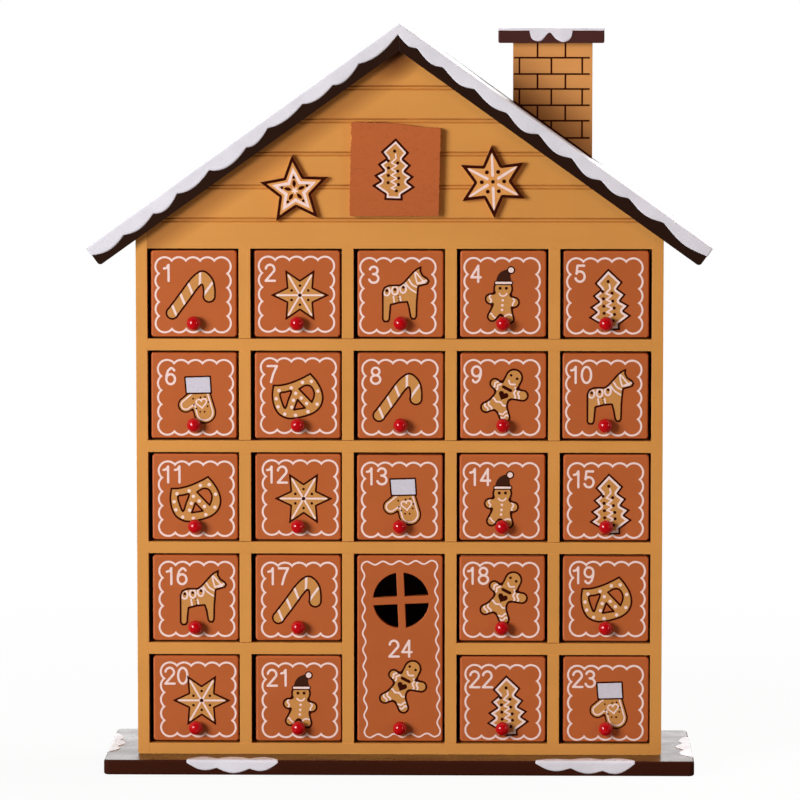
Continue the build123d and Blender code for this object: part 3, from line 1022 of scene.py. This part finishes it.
# Centre lines of plain numbers in a box one wide and one high
DIGITS = {
    "0": [arc((0.5, 0.5), (0.5, 0.5), 0, 360, 30)],
    "1": [[(0.08, 0.78), (0.36, 0.82), (0.56, 1.0), (0.56, 0.0)]],
    "2": [[*arc((0.48, 0.72), (0.46, 0.28), 172, -30, 16), (0.0, 0.0), (1.0, 0.0)]],
    "3": [
        [*arc((0.46, 0.77), (0.42, 0.23), 165, -78, 18), (0.4, 0.545)],
        [(0.4, 0.545), *arc((0.46, 0.27), (0.5, 0.27), 80, -165, 20)],
    ],
    "4": [[(0.74, 0.0), (0.74, 1.0), (0.0, 0.28), (1.0, 0.28)]],
    "5": [[(0.92, 1.0), (0.2, 1.0), (0.1, 0.5), *arc((0.47, 0.32), (0.5, 0.32), 140, -160, 20)]],
    "6": [
        arc((0.5, 0.31), (0.47, 0.31), 0, 360, 26),
        [*arc((0.56, 0.76), (0.36, 0.24), 25, 100, 8), (0.22, 0.84), (0.06, 0.55), (0.03, 0.31)],
    ],
    "7": [smooth_line([(1.0, 1.0), (0.62, 0.52), (0.36, 0.0)]), [(0.0, 1.0), (1.0, 1.0)]],
    "8": [arc((0.5, 0.765), (0.41, 0.235), 0, 360, 26), arc((0.5, 0.265), (0.5, 0.265), 0, 360, 28)],
    "9": [
        arc((0.5, 0.69), (0.47, 0.31), 0, 360, 26),
        [*arc((0.44, 0.24), (0.36, 0.24), 205, 280, 8), (0.78, 0.16), (0.94, 0.45), (0.97, 0.69)],
    ],
}


def number_shape(text, corner, sizes):
    """A number set from its upper left corner, one digit beside the next, closer after a slim one."""
    width, height, line = sizes.digit_width / MM, sizes.digit_height / MM, sizes.digit_line / MM
    advance = width + line * (0.9 if text[0] == "1" else 1.55)
    strokes = []
    for place, digit in enumerate(text):
        start = np.array([corner[0] + place * advance, corner[1] - height])
        strokes += [stroke(start + np.asarray(points) * (width, height), line) for points in DIGITS[digit]]
    return joined(*strokes)


def lobed_border(sizes):
    """The outline of a square edged with sixteen discs, four to a side, drawn as a line."""
    reach, lobe, line = sizes.border_reach / MM, sizes.border_lobe / MM, sizes.border_line / MM
    steps = np.linspace(-reach, reach, 5)
    places = [(x, y) for x in steps for y in steps if max(abs(x), abs(y)) > reach * 0.99]
    return ring(joined(rectangle(reach, reach), *dots(places, lobe)), -line / 2, line / 2)


def waved_border(sizes, half_width=19.5, half_height=46.6):
    """A line round a tall board that swings in and out: ten and a half times up each side and four and a
    half times across."""
    t = np.linspace(0, 1, 120)
    up = np.column_stack([half_width + 0.8 * np.sin(2 * pi * 10.5 * t), half_height * (2 * t - 1)])
    t = np.linspace(0, 1, 70)
    over = np.column_stack([half_width * (1 - 2 * t), half_height + 0.9 * np.sin(2 * pi * 4.5 * t)])
    path = np.vstack([up, over, -up, -over, up[:1]])
    return placed(stroke(path, 0.8 * sizes.border_line / MM), (0.5, 0.0), radians(1.0))


PICTURES = {
    candy_cane: (1, 8, 17),
    spiced_star: (2, 12, 20),
    folk_horse: (3, 10, 16),
    capped_figure: (4, 14, 21),
    iced_tree: (5, 15, 22),
    iced_mitten: (6, 13, 23),
    salted_pretzel: (7, 11, 19),
    leaning_figure: (9, 18, 24),
}
# How far right and up each print sits from the middle of its front, in millimetres, from drawer 1 on
PRINT_SHIFTS = (
    (-0.4, -0.3), (-0.3, 0.1), (-1.4, -0.6), (-0.6, -0.5), (-0.7, -0.6), (0.8, -0.7), (0.4, 0.3), (-0.3, -0.5),
    (-0.7, -0.5), (-0.8, -0.7), (0.6, -0.7), (1.1, 0.0), (-0.3, -1.1), (-0.6, -1.2), (-0.3, -1.2), (0.7, -0.3),
    (0.5, -0.6), (-0.5, -0.4), (0.9, 0.2), (1.2, -0.3), (0.7, -0.6), (0.1, -1.2), (-0.2, -1.5),
)
# How far right and up each number sits from its usual place in the border
NUMBER_SHIFTS = (
    (0.6, 0.3), (0.0, 0.1), (1.3, -0.2), (0.1, 0.3), (0.9, 0.5), (0.7, 0.0), (0.0, 0.2), (1.0, 0.2),
    (0.4, 1.0), (0.3, 1.0), (0.2, 1.7), (0.0, 1.0), (0.4, 1.3), (1.2, 1.1), (0.8, 0.0), (1.6, 0.9),
    (1.1, 1.3), (0.0, 1.6), (-0.3, 1.4), (0.4, 1.5), (0.8, 0.8), (0.5, 0.9), (0.7, 1.5),
)
# Pictures that sit further right and up than others of their kind
PICTURE_SHIFTS = {10: (-0.6, 0.0), 13: (0.7, 0.3), 16: (-0.7, 0.0), 23: (1.0, 0.0)}
# Upper left corner of a number with one digit, with two and on the tall drawer, and the tall drawer's picture
NUMBER_CORNERS = {1: (-16.4, 15.6), 2: (-18.0, 15.6)}
TALL_NUMBER = (-5.6, 4.6)
TALL_PICTURE = (1.4, -20.7)


def picture_solids(layers, field, coat):
    """Slabs of a picture's layers, each as thick as one coat and lying at its own level."""
    return [
        (paint, *flat_slab(shape, field, (level - 1) * coat, level * coat)) for paint, level, shape in layers
    ]


def put_print(name, solids, shift, face_y, colours, body="house"):
    """One printed piece from slabs on an upright face."""
    points, faces, paints, count = [], [], [], 0
    for paint, solid, solid_faces in solids:
        points.append(on_front(solid, shift, face_y))
        faces += [[corner + count for corner in face] for face in solid_faces]
        paints += [paint] * len(solid_faces)
        count += len(solid)
    put_piece(name, np.vstack(points), faces, print_materials(colours), body, paints=paints)


# Snow

# Patches on the base: name, side (0 front, -1 left, 1 right), where the lobes begin, meet and end along the
# edge, how far the snow hangs where they meet, how far each lobe bulges down and how far back
BASE_SNOW = (
    ("snow_front_left", 0, (-112.9, -96.8, -79.2, -64.1), (4.2, 4.6), (2.6, 2.6, 2.8), (8.0, 6.0, 7.0)),
    ("snow_front_right", 0, (72.6, 91.4, 108.3, 125.5), (3.8, 5.2), (2.8, 2.2, 3.4), (4.0, 5.0, 6.0)),
    ("snow_side_left", -1, (-25.3, -8.0, 11.0, 33.0), (2.4, 2.4), (2.4, 1.6, 2.4), (3.4, 3.6, 3.0)),
    ("snow_side_right", 1, (-36.8, -15.0, 5.4, 27.4), (2.4, 2.4), (2.4, 1.2, 2.6), (4.2, 4.4, 3.2)),
)
# Along the roof's front, from the ridge on: where the lobes meet, how far the snow hangs there and at the
# eave, how far each lobe bulges, and how softly the lobes meet
LEFT_SNOW = (
    (0, 21.2, 35.0, 51.0, 69.6, 81.0, 101.0, 118.4, 131.8, 148.2),
    (4.0, 4.8, 6.0, 4.8, 4.4, 6.2, 4.4, 4.6, 5.9, 6.0, 4.9),
    (2.9, 2.8, 2.3, 2.2, 2.4, 3.7, 2.8, 3.1, 2.6, 2.8),
    0.85,
)
RIGHT_SNOW = (
    (0, 9.3, 23.2, 39.8, 57.0, 73.8, 91.6, 107.4, 122.2, 140.9),
    (5.6, 5.2, 5.4, 5.0, 5.3, 4.6, 4.7, 5.2, 4.3, 4.1, 5.2),
    (1.5, 2.3, 2.5, 2.0, 3.1, 2.8, 2.9, 2.1, 2.4, 2.6),
    1.2,
)
# How far back the base's snow reaches where its lobes meet
BASE_SNOW_BACK = 4.6
# Lower edge of the snow on the cap's front: right of the middle, and down from the cap's top
CAP_DRIPS = (
    (69.0, 1.1), (69.6, 4.0), (71.0, 5.8), (73.7, 6.5), (76.0, 5.6), (79.6, 1.9),
    (83.0, 5.2), (86.5, 6.9), (89.5, 6.2), (91.2, 4.2), (91.8, 1.1),
)
# At its rims a skin of snow dips into the board by this share of its coat
RIM_DIP = 0.1


def edge_skin(edge, inward, down, radius, top_reach, front_reach, coat, thin_ends=True):
    """Snow over a rounded edge: from its reach on the top, flat to the rounding, a quarter turn about the
    rounding's centre, and flat down the face to its reach there. One row of points for each place along
    the edge; every point is lifted off the board by the coat, which thins to nothing at the rim."""
    inward, down = np.asarray(inward, float), np.asarray(down, float)
    flat = np.linspace(0, 1, 9)[None]
    top = top_reach[:, None] + (radius - top_reach[:, None]) * flat
    turn = np.linspace(0, pi / 2, 6)[None, 1:-1] * np.ones((len(edge), 1))
    front = radius + (front_reach[:, None] - radius) * flat
    inset = np.hstack([top, radius - radius * np.sin(turn), np.zeros_like(front)])
    drop = np.hstack([np.zeros_like(top), radius - radius * np.cos(turn), front])
    up_share = np.hstack([np.ones_like(top), np.cos(turn), np.zeros_like(front)])
    out_share = np.hstack([np.zeros_like(top), np.sin(turn), np.ones_like(front)])
    lift = np.full_like(inset, coat)
    lift[:, 0] = lift[:, -1] = -RIM_DIP * coat
    if thin_ends:
        lift[0] = lift[-1] = -RIM_DIP * coat
    points = edge[:, None] + (inset - out_share * lift)[..., None] * inward
    return points + (drop - up_share * lift)[..., None] * down


def scallops(position, places, depths, bulges, sharpness):
    """How far snow hangs: a straight run between the depths at two cusps, and on it a bulge that follows
    half a sine wave raised to a power. Below one gives sharp cusps, above one soft ones."""
    stops = np.asarray(places, float)
    index = np.clip(np.searchsorted(stops, position, "right") - 1, 0, len(stops) - 2)
    share = np.clip((position - stops[index]) / (stops[index + 1] - stops[index]), 0, 1)
    return np.interp(position, stops, depths) + np.asarray(bulges)[index] * np.sin(pi * share) ** sharpness


def thick_skin(name, points, outward, colours, coat):
    """A grid of points as a closed skin of snow whose faces look outward."""
    down, along = points[:-1, 1:] - points[:-1, :-1], points[1:, :-1] - points[:-1, :-1]
    if np.cross(down, along).sum((0, 1)) @ outward < 0:
        points = points[::-1]
    faces = grid_faces(*points.shape[:2])
    piece = put_piece(name, points.reshape(-1, 3), faces, [snow_material(colours)], smooth=True)
    wall = piece.modifiers.new("thickness", "SOLIDIFY")
    wall.thickness = coat * MM
    wall.offset = -1.0


# Operators, one for each piece or group of like pieces


class HOUSE_OT_boards(bpy.types.Operator):
    """Paints walls, back, gable, shelves and dividers, with eased edges"""

    bl_idname = "house.boards"
    bl_label = "House boards"

    def execute(self, context):
        colours, edges = context.scene.house_colours, context.scene.house_edges
        wall = brushed_paint("wall_ochre", colours.ochre, 0.42, 0.07).material
        ochre = (wall, worn_edge("ochre_edge", colours.ochre, 1.28))
        for node, materials, width, limit in (
            ("side_walls", ochre, edges.board, 25),
            ("back_panel", ochre, edges.board, 25),
            # The gable's paint holds painted shade at its tip and painted shadow under the left roof
            ("gable_front", (gable_paint(colours),), 0.0, 3),
            ("shelves", ochre, edges.slat, 25),
            ("dividers", ochre, edges.slat, 25),
        ):
            eased_copy(node, f"{node}_painted", materials, width, limit=limit)
        return {"FINISHED"}


class HOUSE_OT_base(bpy.types.Operator):
    """Paints the base board and lays snow on its edges"""

    bl_idname = "house.base"
    bl_label = "Base board"

    def execute(self, context):
        colours, snow = context.scene.house_colours, context.scene.house_snow
        dull = brushed_paint("base_edge", colours.base, 0.4, 0.12, ior=DULL_IOR).material
        gloss = brushed_paint("base_gloss", colours.base, 0.26, 0.12, 0.12 * MM, 1.5).material
        faces = eased_copy("base_board", "base_painted", (dull, gloss), 0.0).data.polygons
        normals = np.empty(3 * len(faces))
        faces.foreach_get("normal", normals)
        faces.foreach_set("material_index", (normals[2::3] > 0.9).astype(np.int32))
        low, high = box_of("base_board")
        coat, rounding, steps = snow.coat / MM, 1.2, 91
        rim = rounding + 0.02
        for name, side, places, cusps, bulges, backs in BASE_SNOW:
            along = np.linspace(places[0], places[-1], steps)
            drop = scallops(along, places, (rim, *cusps, rim), bulges, 1.0)
            back = scallops(along, places, (rim, BASE_SNOW_BACK, BASE_SNOW_BACK, rim), backs, 1.0)
            level = np.full(steps, high[2])
            if side:
                edge = np.column_stack([np.full(steps, high[0] if side > 0 else low[0]), along, level])
            else:
                edge = np.column_stack([along, np.full(steps, low[1]), level])
            inward = (-side, 0, 0) if side else (0, 1, 0)
            points = edge_skin(edge, inward, (0, 0, -1), rounding, back, drop, coat)
            thick_skin(name, points, (0, 0, 1), colours, coat)
        return {"FINISHED"}


class HOUSE_OT_roof(bpy.types.Operator):
    """Paints the roof boards and lays snow over them, hanging in lobes at the front"""

    bl_idname = "house.roof"
    bl_label = "Roof and snow"

    def execute(self, context):
        scene = context.scene
        colours, snow = scene.house_colours, scene.house_snow
        brown = brushed_paint("roof_brown", colours.roof, 0.45, 0.12, ior=DULL_IOR)
        brown.feed(brown.shader, {"Specular IOR Level": 0.0})
        materials = (brown.material, worn_edge("roof_edge", colours.roof, 1.8))
        for node in ("roof_left", "roof_right"):
            eased_copy(node, f"{node}_painted", materials, scene.house_edges.board)
        low, high = box_of("roof_right")
        coat, ridge, eave, depth = snow.coat / MM, high[2], high[0], high[1] - low[1]
        sine, cosine = sin(ROOF_PITCH), cos(ROOF_PITCH)

        # The front edge, where the snow hangs plumb at the ridge and square to the slope at the eaves
        steps = 661
        x = np.linspace(-eave, eave, steps)
        away = np.abs(x)
        left, right = (
            scallops(away, (*places, eave), *lobes) for places, *lobes in (LEFT_SNOW, RIGHT_SNOW)
        )
        hang = np.where(x < 0, left, right) * snow.hang
        edge = np.column_stack([x, np.full(steps, low[1]), ridge - away * ROOF_RISE])
        share = (away / eave)[:, None] ** 3
        into = np.column_stack([-np.sign(x) * sine, np.zeros(steps), np.full(steps, -cosine)])
        down = (1 - share) * np.array([0, 0, -1 / cosine]) + share * into
        # Behind, the snow ends in a ripple, and short of it where the chimney stands
        bare = 14.0 * np.clip((x - 20) / 25, 0, 1) * np.clip((110 - x) / 6, 0, 1)
        back = depth - 2.5 + 0.8 * np.sin(x * 0.23) - bare
        points = edge_skin(edge, (0, 1, 0), down[:, None], 0.5, back, hang, coat, False)
        thick_skin("snow_roof", points, (0, 0, 1), colours, coat)

        # The eaves' ends, down which the snow runs in shallow lobes
        end, rows = depth - 2.0, 12
        y = np.linspace(-coat, end, 81)
        reach = scallops(y, (-coat, 14, 33, 51, end), (4.9, 4.0, 4.4, 4.1, 4.6), (1.6, 2.2, 1.8, 2.1), 0.9)
        fall = np.linspace(0, 1, rows) * (reach[:, None] + coat) - coat
        lift = np.full_like(fall, coat)
        lift[:, -1] = lift[-1] = -RIM_DIP * coat
        out = eave - fall * sine + lift * cosine
        depths = np.repeat(low[1] + y[:, None], rows, 1)
        heights = ridge - eave * ROOF_RISE - fall * cosine - lift * sine
        for side, sign in (("left", -1), ("right", 1)):
            points = np.stack([sign * out, depths, heights], -1)
            outward = (sign * cosine, 0, -sine)
            thick_skin(f"snow_eave_{side}", points, outward, colours, coat)
        return {"FINISHED"}


class HOUSE_OT_chimney(bpy.types.Operator):
    """Paints the chimney with painted shade towards its foot, its brick lines and a dark line of painted shade
    along the foot, its cap and the snow on it
    """

    bl_idname = "house.chimney"
    bl_label = "Chimney"

    def execute(self, context):
        scene = context.scene
        colours, edges, sizes = scene.house_colours, scene.house_edges, scene.house_prints
        ridge = box_of("roof_right")[1][2]
        brick = brushed_paint("brick_ochre", colours.brick, 0.45, 0.1)
        # Painted shade: the chimney darkens towards its foot, up to 16 mm above the roof line, where the roof's
        # slope shades it
        foot_shade = brick.spread(brick.over_slope(ridge * MM, -ROOF_RISE), 16 * MM, 0.0, 0.0, 0.28)
        brick.over(foot_shade, shade(colours.groove, 0.3))
        materials = (brick.material, worn_edge("brick_edge", colours.brick, 1.15))
        eased_copy("chimney_stack", "chimney_painted", materials, edges.board)
        cap = brushed_paint("cap_brown", colours.cap, 0.42, 0.12, ior=1.2).material
        materials = (cap, worn_edge("cap_edge", colours.cap, 1.4))
        eased_copy("chimney_cap", "cap_painted", materials, edges.slat)

        low, high = box_of("chimney_stack")
        left, right, top = low[0], high[0], high[2]
        margin, short_end, width = 0.3, 1.8, sizes.brick_line / MM
        lines = [stroke([(left + margin, z), (right - short_end, z)], width) for z in BRICK_BEDS]
        for course, (upper, bed) in enumerate(zip((top + 1, *BRICK_BEDS), BRICK_BEDS)):
            lines += [stroke([(x, upper), (x, bed)], width) for x in BRICK_JOINTS[course % 2]]
        # The wide dark line along the foot, where the chimney meets the roof, is painted shade printed with the
        # brick lines
        foot = [(x, ridge - x * ROOF_RISE + 0.5) for x in (left + margin, right - margin)]
        lines.append(stroke(foot, 1.9))
        face = polygon([(left + margin, top - 0.1), (right - margin, top - 0.1), foot[1], foot[0]])
        layers = [(LINE, 1, common(joined(*lines), face))]
        solids = picture_solids(layers, (left, low[2], right, top), sizes.coat / MM)
        put_print("chimney_brick_lines_and_foot_shadow", solids, (0, 0), low[1], colours)

        low, high = box_of("chimney_cap")
        coat = scene.house_snow.coat / MM
        drips = smooth_line(CAP_DRIPS)
        count = len(drips)
        edge = np.column_stack([drips[:, 0], np.full(count, low[1]), np.full(count, high[2])])
        drop = np.maximum(drips[:, 1], 0.7)
        points = edge_skin(edge, (0, 1, 0), (0, 0, -1), 0.6, np.full(count, 5.0), drop, coat)
        thick_skin("snow_cap_drips", points, (0, 0, 1), colours, coat)
        half = (high - low) / 2 - 0.3
        sunk, rise = -0.7, 0.55
        solid, faces = flat_slab(rectangle(half[0], half[1], 0.4), CAP_FIELD, sunk, rise, 0.5)
        points = solid + (*(low + high)[:2] / 2, high[2])
        put_piece("snow_cap_top", points, faces, [snow_material(colours)])
        return {"FINISHED"}


class HOUSE_OT_ornaments(bpy.types.Operator):
    """Makes the sawn plaque and the two stars on the gable, with their printed icing"""

    bl_idname = "house.ornaments"
    bl_label = "Plaque and stars"

    def execute(self, context):
        scene = context.scene
        colours, edges, sizes = scene.house_colours, scene.house_edges, scene.house_prints
        coat, outline = sizes.coat / MM, sizes.outline / MM
        low, high = box_of("gable_plaque")
        middle = (low + high)[[0, 2]] / 2
        board = nicked_board((high - low)[[0, 2]] / 2)
        solid, faces = flat_slab(board, PLAQUE_FIELD, 0.0, high[1] - low[1], 0.4)
        plaque = put_piece(
            "plaque_painted",
            on_front(solid, middle, high[1]),
            faces,
            [plaque_paint(colours)],
            node="gable_plaque",
        )
        ease(plaque, edges.ornament, 60)
        tree = iced_tree(1.25 * outline, (-0.1, 0.0), radians(-2.0), 1.06, 0.95)
        solids = picture_solids(tree, TREE_FIELD, coat)
        put_print("plaque_tree", solids, middle, low[1], colours)

        rim = worn_edge("star_rim", shade(colours.raw_wood, 0.45), 1.3)
        materials = (star_paint(colours), rim)
        stars = eased_copy("gable_stars", "stars_painted", materials, edges.star, limit=40)
        corners = np.empty(3 * len(stars.data.vertices))
        stars.data.vertices.foreach_get("co", corners)
        corners = corners.reshape(-1, 3) / MM
        face_y = box_of("gable_stars")[0][1]
        for name, icing, place, arms, reach, waist, turn, growth in STARS:
            own = np.sign(corners[:, 0]) == np.sign(place[0])
            corners[np.ix_(own, [0, 2])] = place + (corners[np.ix_(own, [0, 2])] - place) * growth
            turn = pi / 2 + radians(turn)
            star = polygon(star_corners(arms, reach * growth, reach * growth * waist, turn))
            solids = picture_solids(icing(star, turn), STAR_FIELD, coat)
            put_print(name, solids, place, face_y, colours)
        stars.data.vertices.foreach_set("co", (corners * MM).ravel())
        stars.data.update()
        return {"FINISHED"}


class HOUSE_OT_drawers(bpy.types.Operator):
    """Paints the drawers' fronts and trays, with eased edges"""

    bl_idname = "house.drawers"
    bl_label = "Drawers"

    def execute(self, context):
        colours, edges = context.scene.house_colours, context.scene.house_edges
        paint = front_paint(colours, "drawer_terracotta", 1.0)
        edge = front_paint(colours, "drawer_edge", 1.12)
        for number in DRAWERS:
            node = f"drawer_{number:02d}"
            eased_copy(node, f"{node}_painted", (paint, edge), edges.front, node)
        return {"FINISHED"}


class HOUSE_OT_prints(bpy.types.Operator):
    """Prints borders, numbers and gingerbread pictures on the drawer fronts"""

    bl_idname = "house.prints"
    bl_label = "Drawer prints"

    def execute(self, context):
        colours, sizes = context.scene.house_colours, context.scene.house_prints
        coat, outline = sizes.coat / MM, sizes.outline / MM
        border = picture_solids([(ICING, 1, lobed_border(sizes))], PRINT_FIELD, coat)
        for picture, numbers in PICTURES.items():
            figure = picture_solids(picture(outline), PRINT_FIELD, coat)
            for number in numbers:
                node = f"drawer_{number:02d}"
                low, high = box_of(node)
                shift = (low + high)[[0, 2]] / 2
                if number == TALL_DRAWER:
                    around = joined(waved_border(sizes), number_shape(str(number), TALL_NUMBER, sizes))
                    layers = [(ICING, 1, around)] + picture(outline, TALL_PICTURE)
                    solids = picture_solids(layers, TALL_FIELD, coat)
                else:
                    text = str(number)
                    corner = np.add(NUMBER_SHIFTS[number - 1], NUMBER_CORNERS[len(text)])
                    solids = border + picture_solids(
                        [(ICING, 1, number_shape(text, corner, sizes))], PRINT_FIELD, coat
                    )
                    aside = (*PICTURE_SHIFTS.get(number, (0.0, 0.0)), 0.0)
                    solids += [(paint, points + aside, faces) for paint, points, faces in figure]
                    shift = shift + PRINT_SHIFTS[number - 1]
                put_print(f"print_{number:02d}", solids, shift, low[1], colours, node)
        return {"FINISHED"}


class HOUSE_OT_knobs(bpy.types.Operator):
    """Turns the lacquered beads that stand for the knobs"""

    bl_idname = "house.knobs"
    bl_label = "Knobs"

    def execute(self, context):
        lacquer = knob_lacquer(context.scene.house_colours)
        for number in DRAWERS:
            node, body = f"knob_{number:02d}", f"drawer_{number:02d}"
            low, high = box_of(node)
            points, faces = turned_bead((high[0] - low[0]) / 2, high[1] - low[1])
            points = on_front(points, (low + high)[[0, 2]] / 2, high[1])
            put_piece(f"{node}_bead", points, faces, [lacquer], body, node, smooth=True)
        return {"FINISHED"}


class HOUSE_OT_stage(bpy.types.Operator):
    """Sets the floor, the soft studio light and the camera"""

    bl_idname = "house.stage"
    bl_label = "Studio"

    def execute(self, context):
        scene = context.scene
        stage, colours = scene.house_stage, scene.house_colours
        white = (1.0, 1.0, 1.0)

        # The floor glows where it is seen, less so in a gloss before the house
        paper = Paint("studio_paper")
        path = paper.add("ShaderNodeLightPath").outputs
        glossy = path["Is Glossy Ray"]
        tone = paper.drift(paper.clouds(3, 2), colours.floor, 0.985, 1.015)
        tone = paper.mixed(path["Is Diffuse Ray"], tone, shade(colours.floor, stage.bounce))
        paper.feed(paper.shader, {"Base Color": tone, "Roughness": 0.9})
        behind = paper.spread(paper.axis("Y"), -0.05, 0.1, stage.dim, 1.0)
        strength = paper.maths("MAXIMUM", behind, paper.maths("SUBTRACT", 1.0, glossy))
        glow = paper.add("ShaderNodeEmission", {"Color": white, "Strength": strength})
        seen = paper.maths("MAXIMUM", path["Is Camera Ray"], path["Is Transmission Ray"])
        seen = paper.maths("MAXIMUM", seen, glossy)
        share = paper.product(seen, paper.spread(paper.distance((0.0, 0.0, 0.0)), 0.25, 0.7, 0.93, 1.0))
        shaders = {0: share, 1: paper.shader.outputs["BSDF"], 2: glow.outputs["Emission"]}
        blend = paper.add("ShaderNodeMixShader", shaders)
        paper.feed(paper.tree.nodes["Material Output"], {"Surface": blend.outputs["Shader"]})
        reach, steps = 30.0, 31
        u, v = np.meshgrid(np.linspace(-reach, reach, steps), np.linspace(-reach, reach, steps))
        mesh = bpy.data.meshes.new("studio_floor")
        points = np.stack([u, v, np.zeros_like(u)], -1).reshape(-1, 3)
        mesh.from_pydata(points.tolist(), [], grid_faces(steps, steps))
        mesh.materials.append(paper.material)
        floor = bpy.data.objects.new("studio_floor", mesh)
        scene.collection.objects.link(floor)

        # The room is white where it is seen, bright behind the house in a gloss, and warm and dim elsewhere
        world = bpy.data.worlds.new("studio_room")
        world.use_nodes = True
        scene.world = world
        air = Nodes(world.node_tree, "Generated")
        path = air.add("ShaderNodeLightPath").outputs
        backdrop = air.spread(air.axis("Y"), -0.3, 0.3, stage.dim, stage.backdrop)
        gloss = air.between(path["Is Glossy Ray"], stage.room, backdrop)
        seen = air.maths("MAXIMUM", path["Is Camera Ray"], path["Is Transmission Ray"])
        tint = air.mixed(path["Is Diffuse Ray"], white, stage.warm)
        air.feed(air.tree.nodes["Background"], {"Strength": air.between(seen, gloss, 1.0), "Color": tint})

        # Lights: name, place, size, power, colour and whether a gloss shows it
        target = Vector((0, 0, 0.2))
        for name, place, size, power, colour, shows in (
            ("key_light", (-1.35, -1.4, 0.62), 0.8, stage.key, stage.cool, True),
            ("fill_light", (1.5, -1.3, 0.5), 0.2, stage.fill, stage.warm, True),
            ("top_light", (0.8, 0.3, 1.9), 1.2, stage.top, white, False),
        ):
            lamp = bpy.data.lights.new(name, "AREA")
            lamp.energy = power
            lamp.color = colour
            lamp.size = size
            holder = bpy.data.objects.new(name, lamp)
            scene.collection.objects.link(holder)
            holder.location = place
            holder.visible_glossy = shows
            holder.rotation_euler = (target - holder.location).to_track_quat("-Z", "Y").to_euler()

        camera = bpy.data.cameras.new("camera")
        camera.lens = stage.lens
        camera.sensor_width = 36.0
        camera.clip_end = 100.0
        holder = bpy.data.objects.new("camera", camera)
        scene.collection.objects.link(holder)
        holder.location = (stage.camera_side, -stage.camera_distance, stage.camera_height)
        holder.rotation_euler = (pi / 2 - stage.camera_pitch, 0, stage.camera_turn)
        scene.camera = holder
        scene.view_settings.view_transform = "Standard"
        return {"FINISHED"}


OPERATORS = (
    HOUSE_OT_boards,
    HOUSE_OT_base,
    HOUSE_OT_roof,
    HOUSE_OT_chimney,
    HOUSE_OT_ornaments,
    HOUSE_OT_drawers,
    HOUSE_OT_prints,
    HOUSE_OT_knobs,
    HOUSE_OT_stage,
)
SETTINGS = {
    "house_colours": HouseColours,
    "house_edges": EdgeSizes,
    "house_prints": PrintSizes,
    "house_snow": SnowSizes,
    "house_stage": StageSizes,
}


class HOUSE_PT_looks(bpy.types.Panel):
    """Lists the steps that dress the drawer house"""

    bl_idname = "HOUSE_PT_looks"
    bl_label = "Drawer House"
    bl_space_type = "VIEW_3D"
    bl_region_type = "UI"
    bl_category = "Drawer House"

    def draw(self, context):
        for operator in OPERATORS:
            self.layout.operator(operator.bl_idname)
        for setting, group in SETTINGS.items():
            box = self.layout.box()
            for name in group.__annotations__:
                box.prop(getattr(context.scene, setting), name)


def register():
    for group in SETTINGS.values():
        bpy.utils.register_class(group)
    for operator in OPERATORS:
        bpy.utils.register_class(operator)
    bpy.utils.register_class(HOUSE_PT_looks)
    for setting, group in SETTINGS.items():
        setattr(bpy.types.Scene, setting, PointerProperty(type=group))


def unregister():
    for setting in SETTINGS:
        delattr(bpy.types.Scene, setting)
    bpy.utils.unregister_class(HOUSE_PT_looks)
    for operator in reversed(OPERATORS):
        bpy.utils.unregister_class(operator)
    for group in reversed(list(SETTINGS.values())):
        bpy.utils.unregister_class(group)


def main():
    register()
    bpy.ops.house.boards()
    bpy.ops.house.base()
    bpy.ops.house.roof()
    bpy.ops.house.chimney()
    bpy.ops.house.ornaments()
    bpy.ops.house.drawers()
    bpy.ops.house.prints()
    bpy.ops.house.knobs()
    bpy.ops.house.stage()


if __name__ == "__main__":
    main()
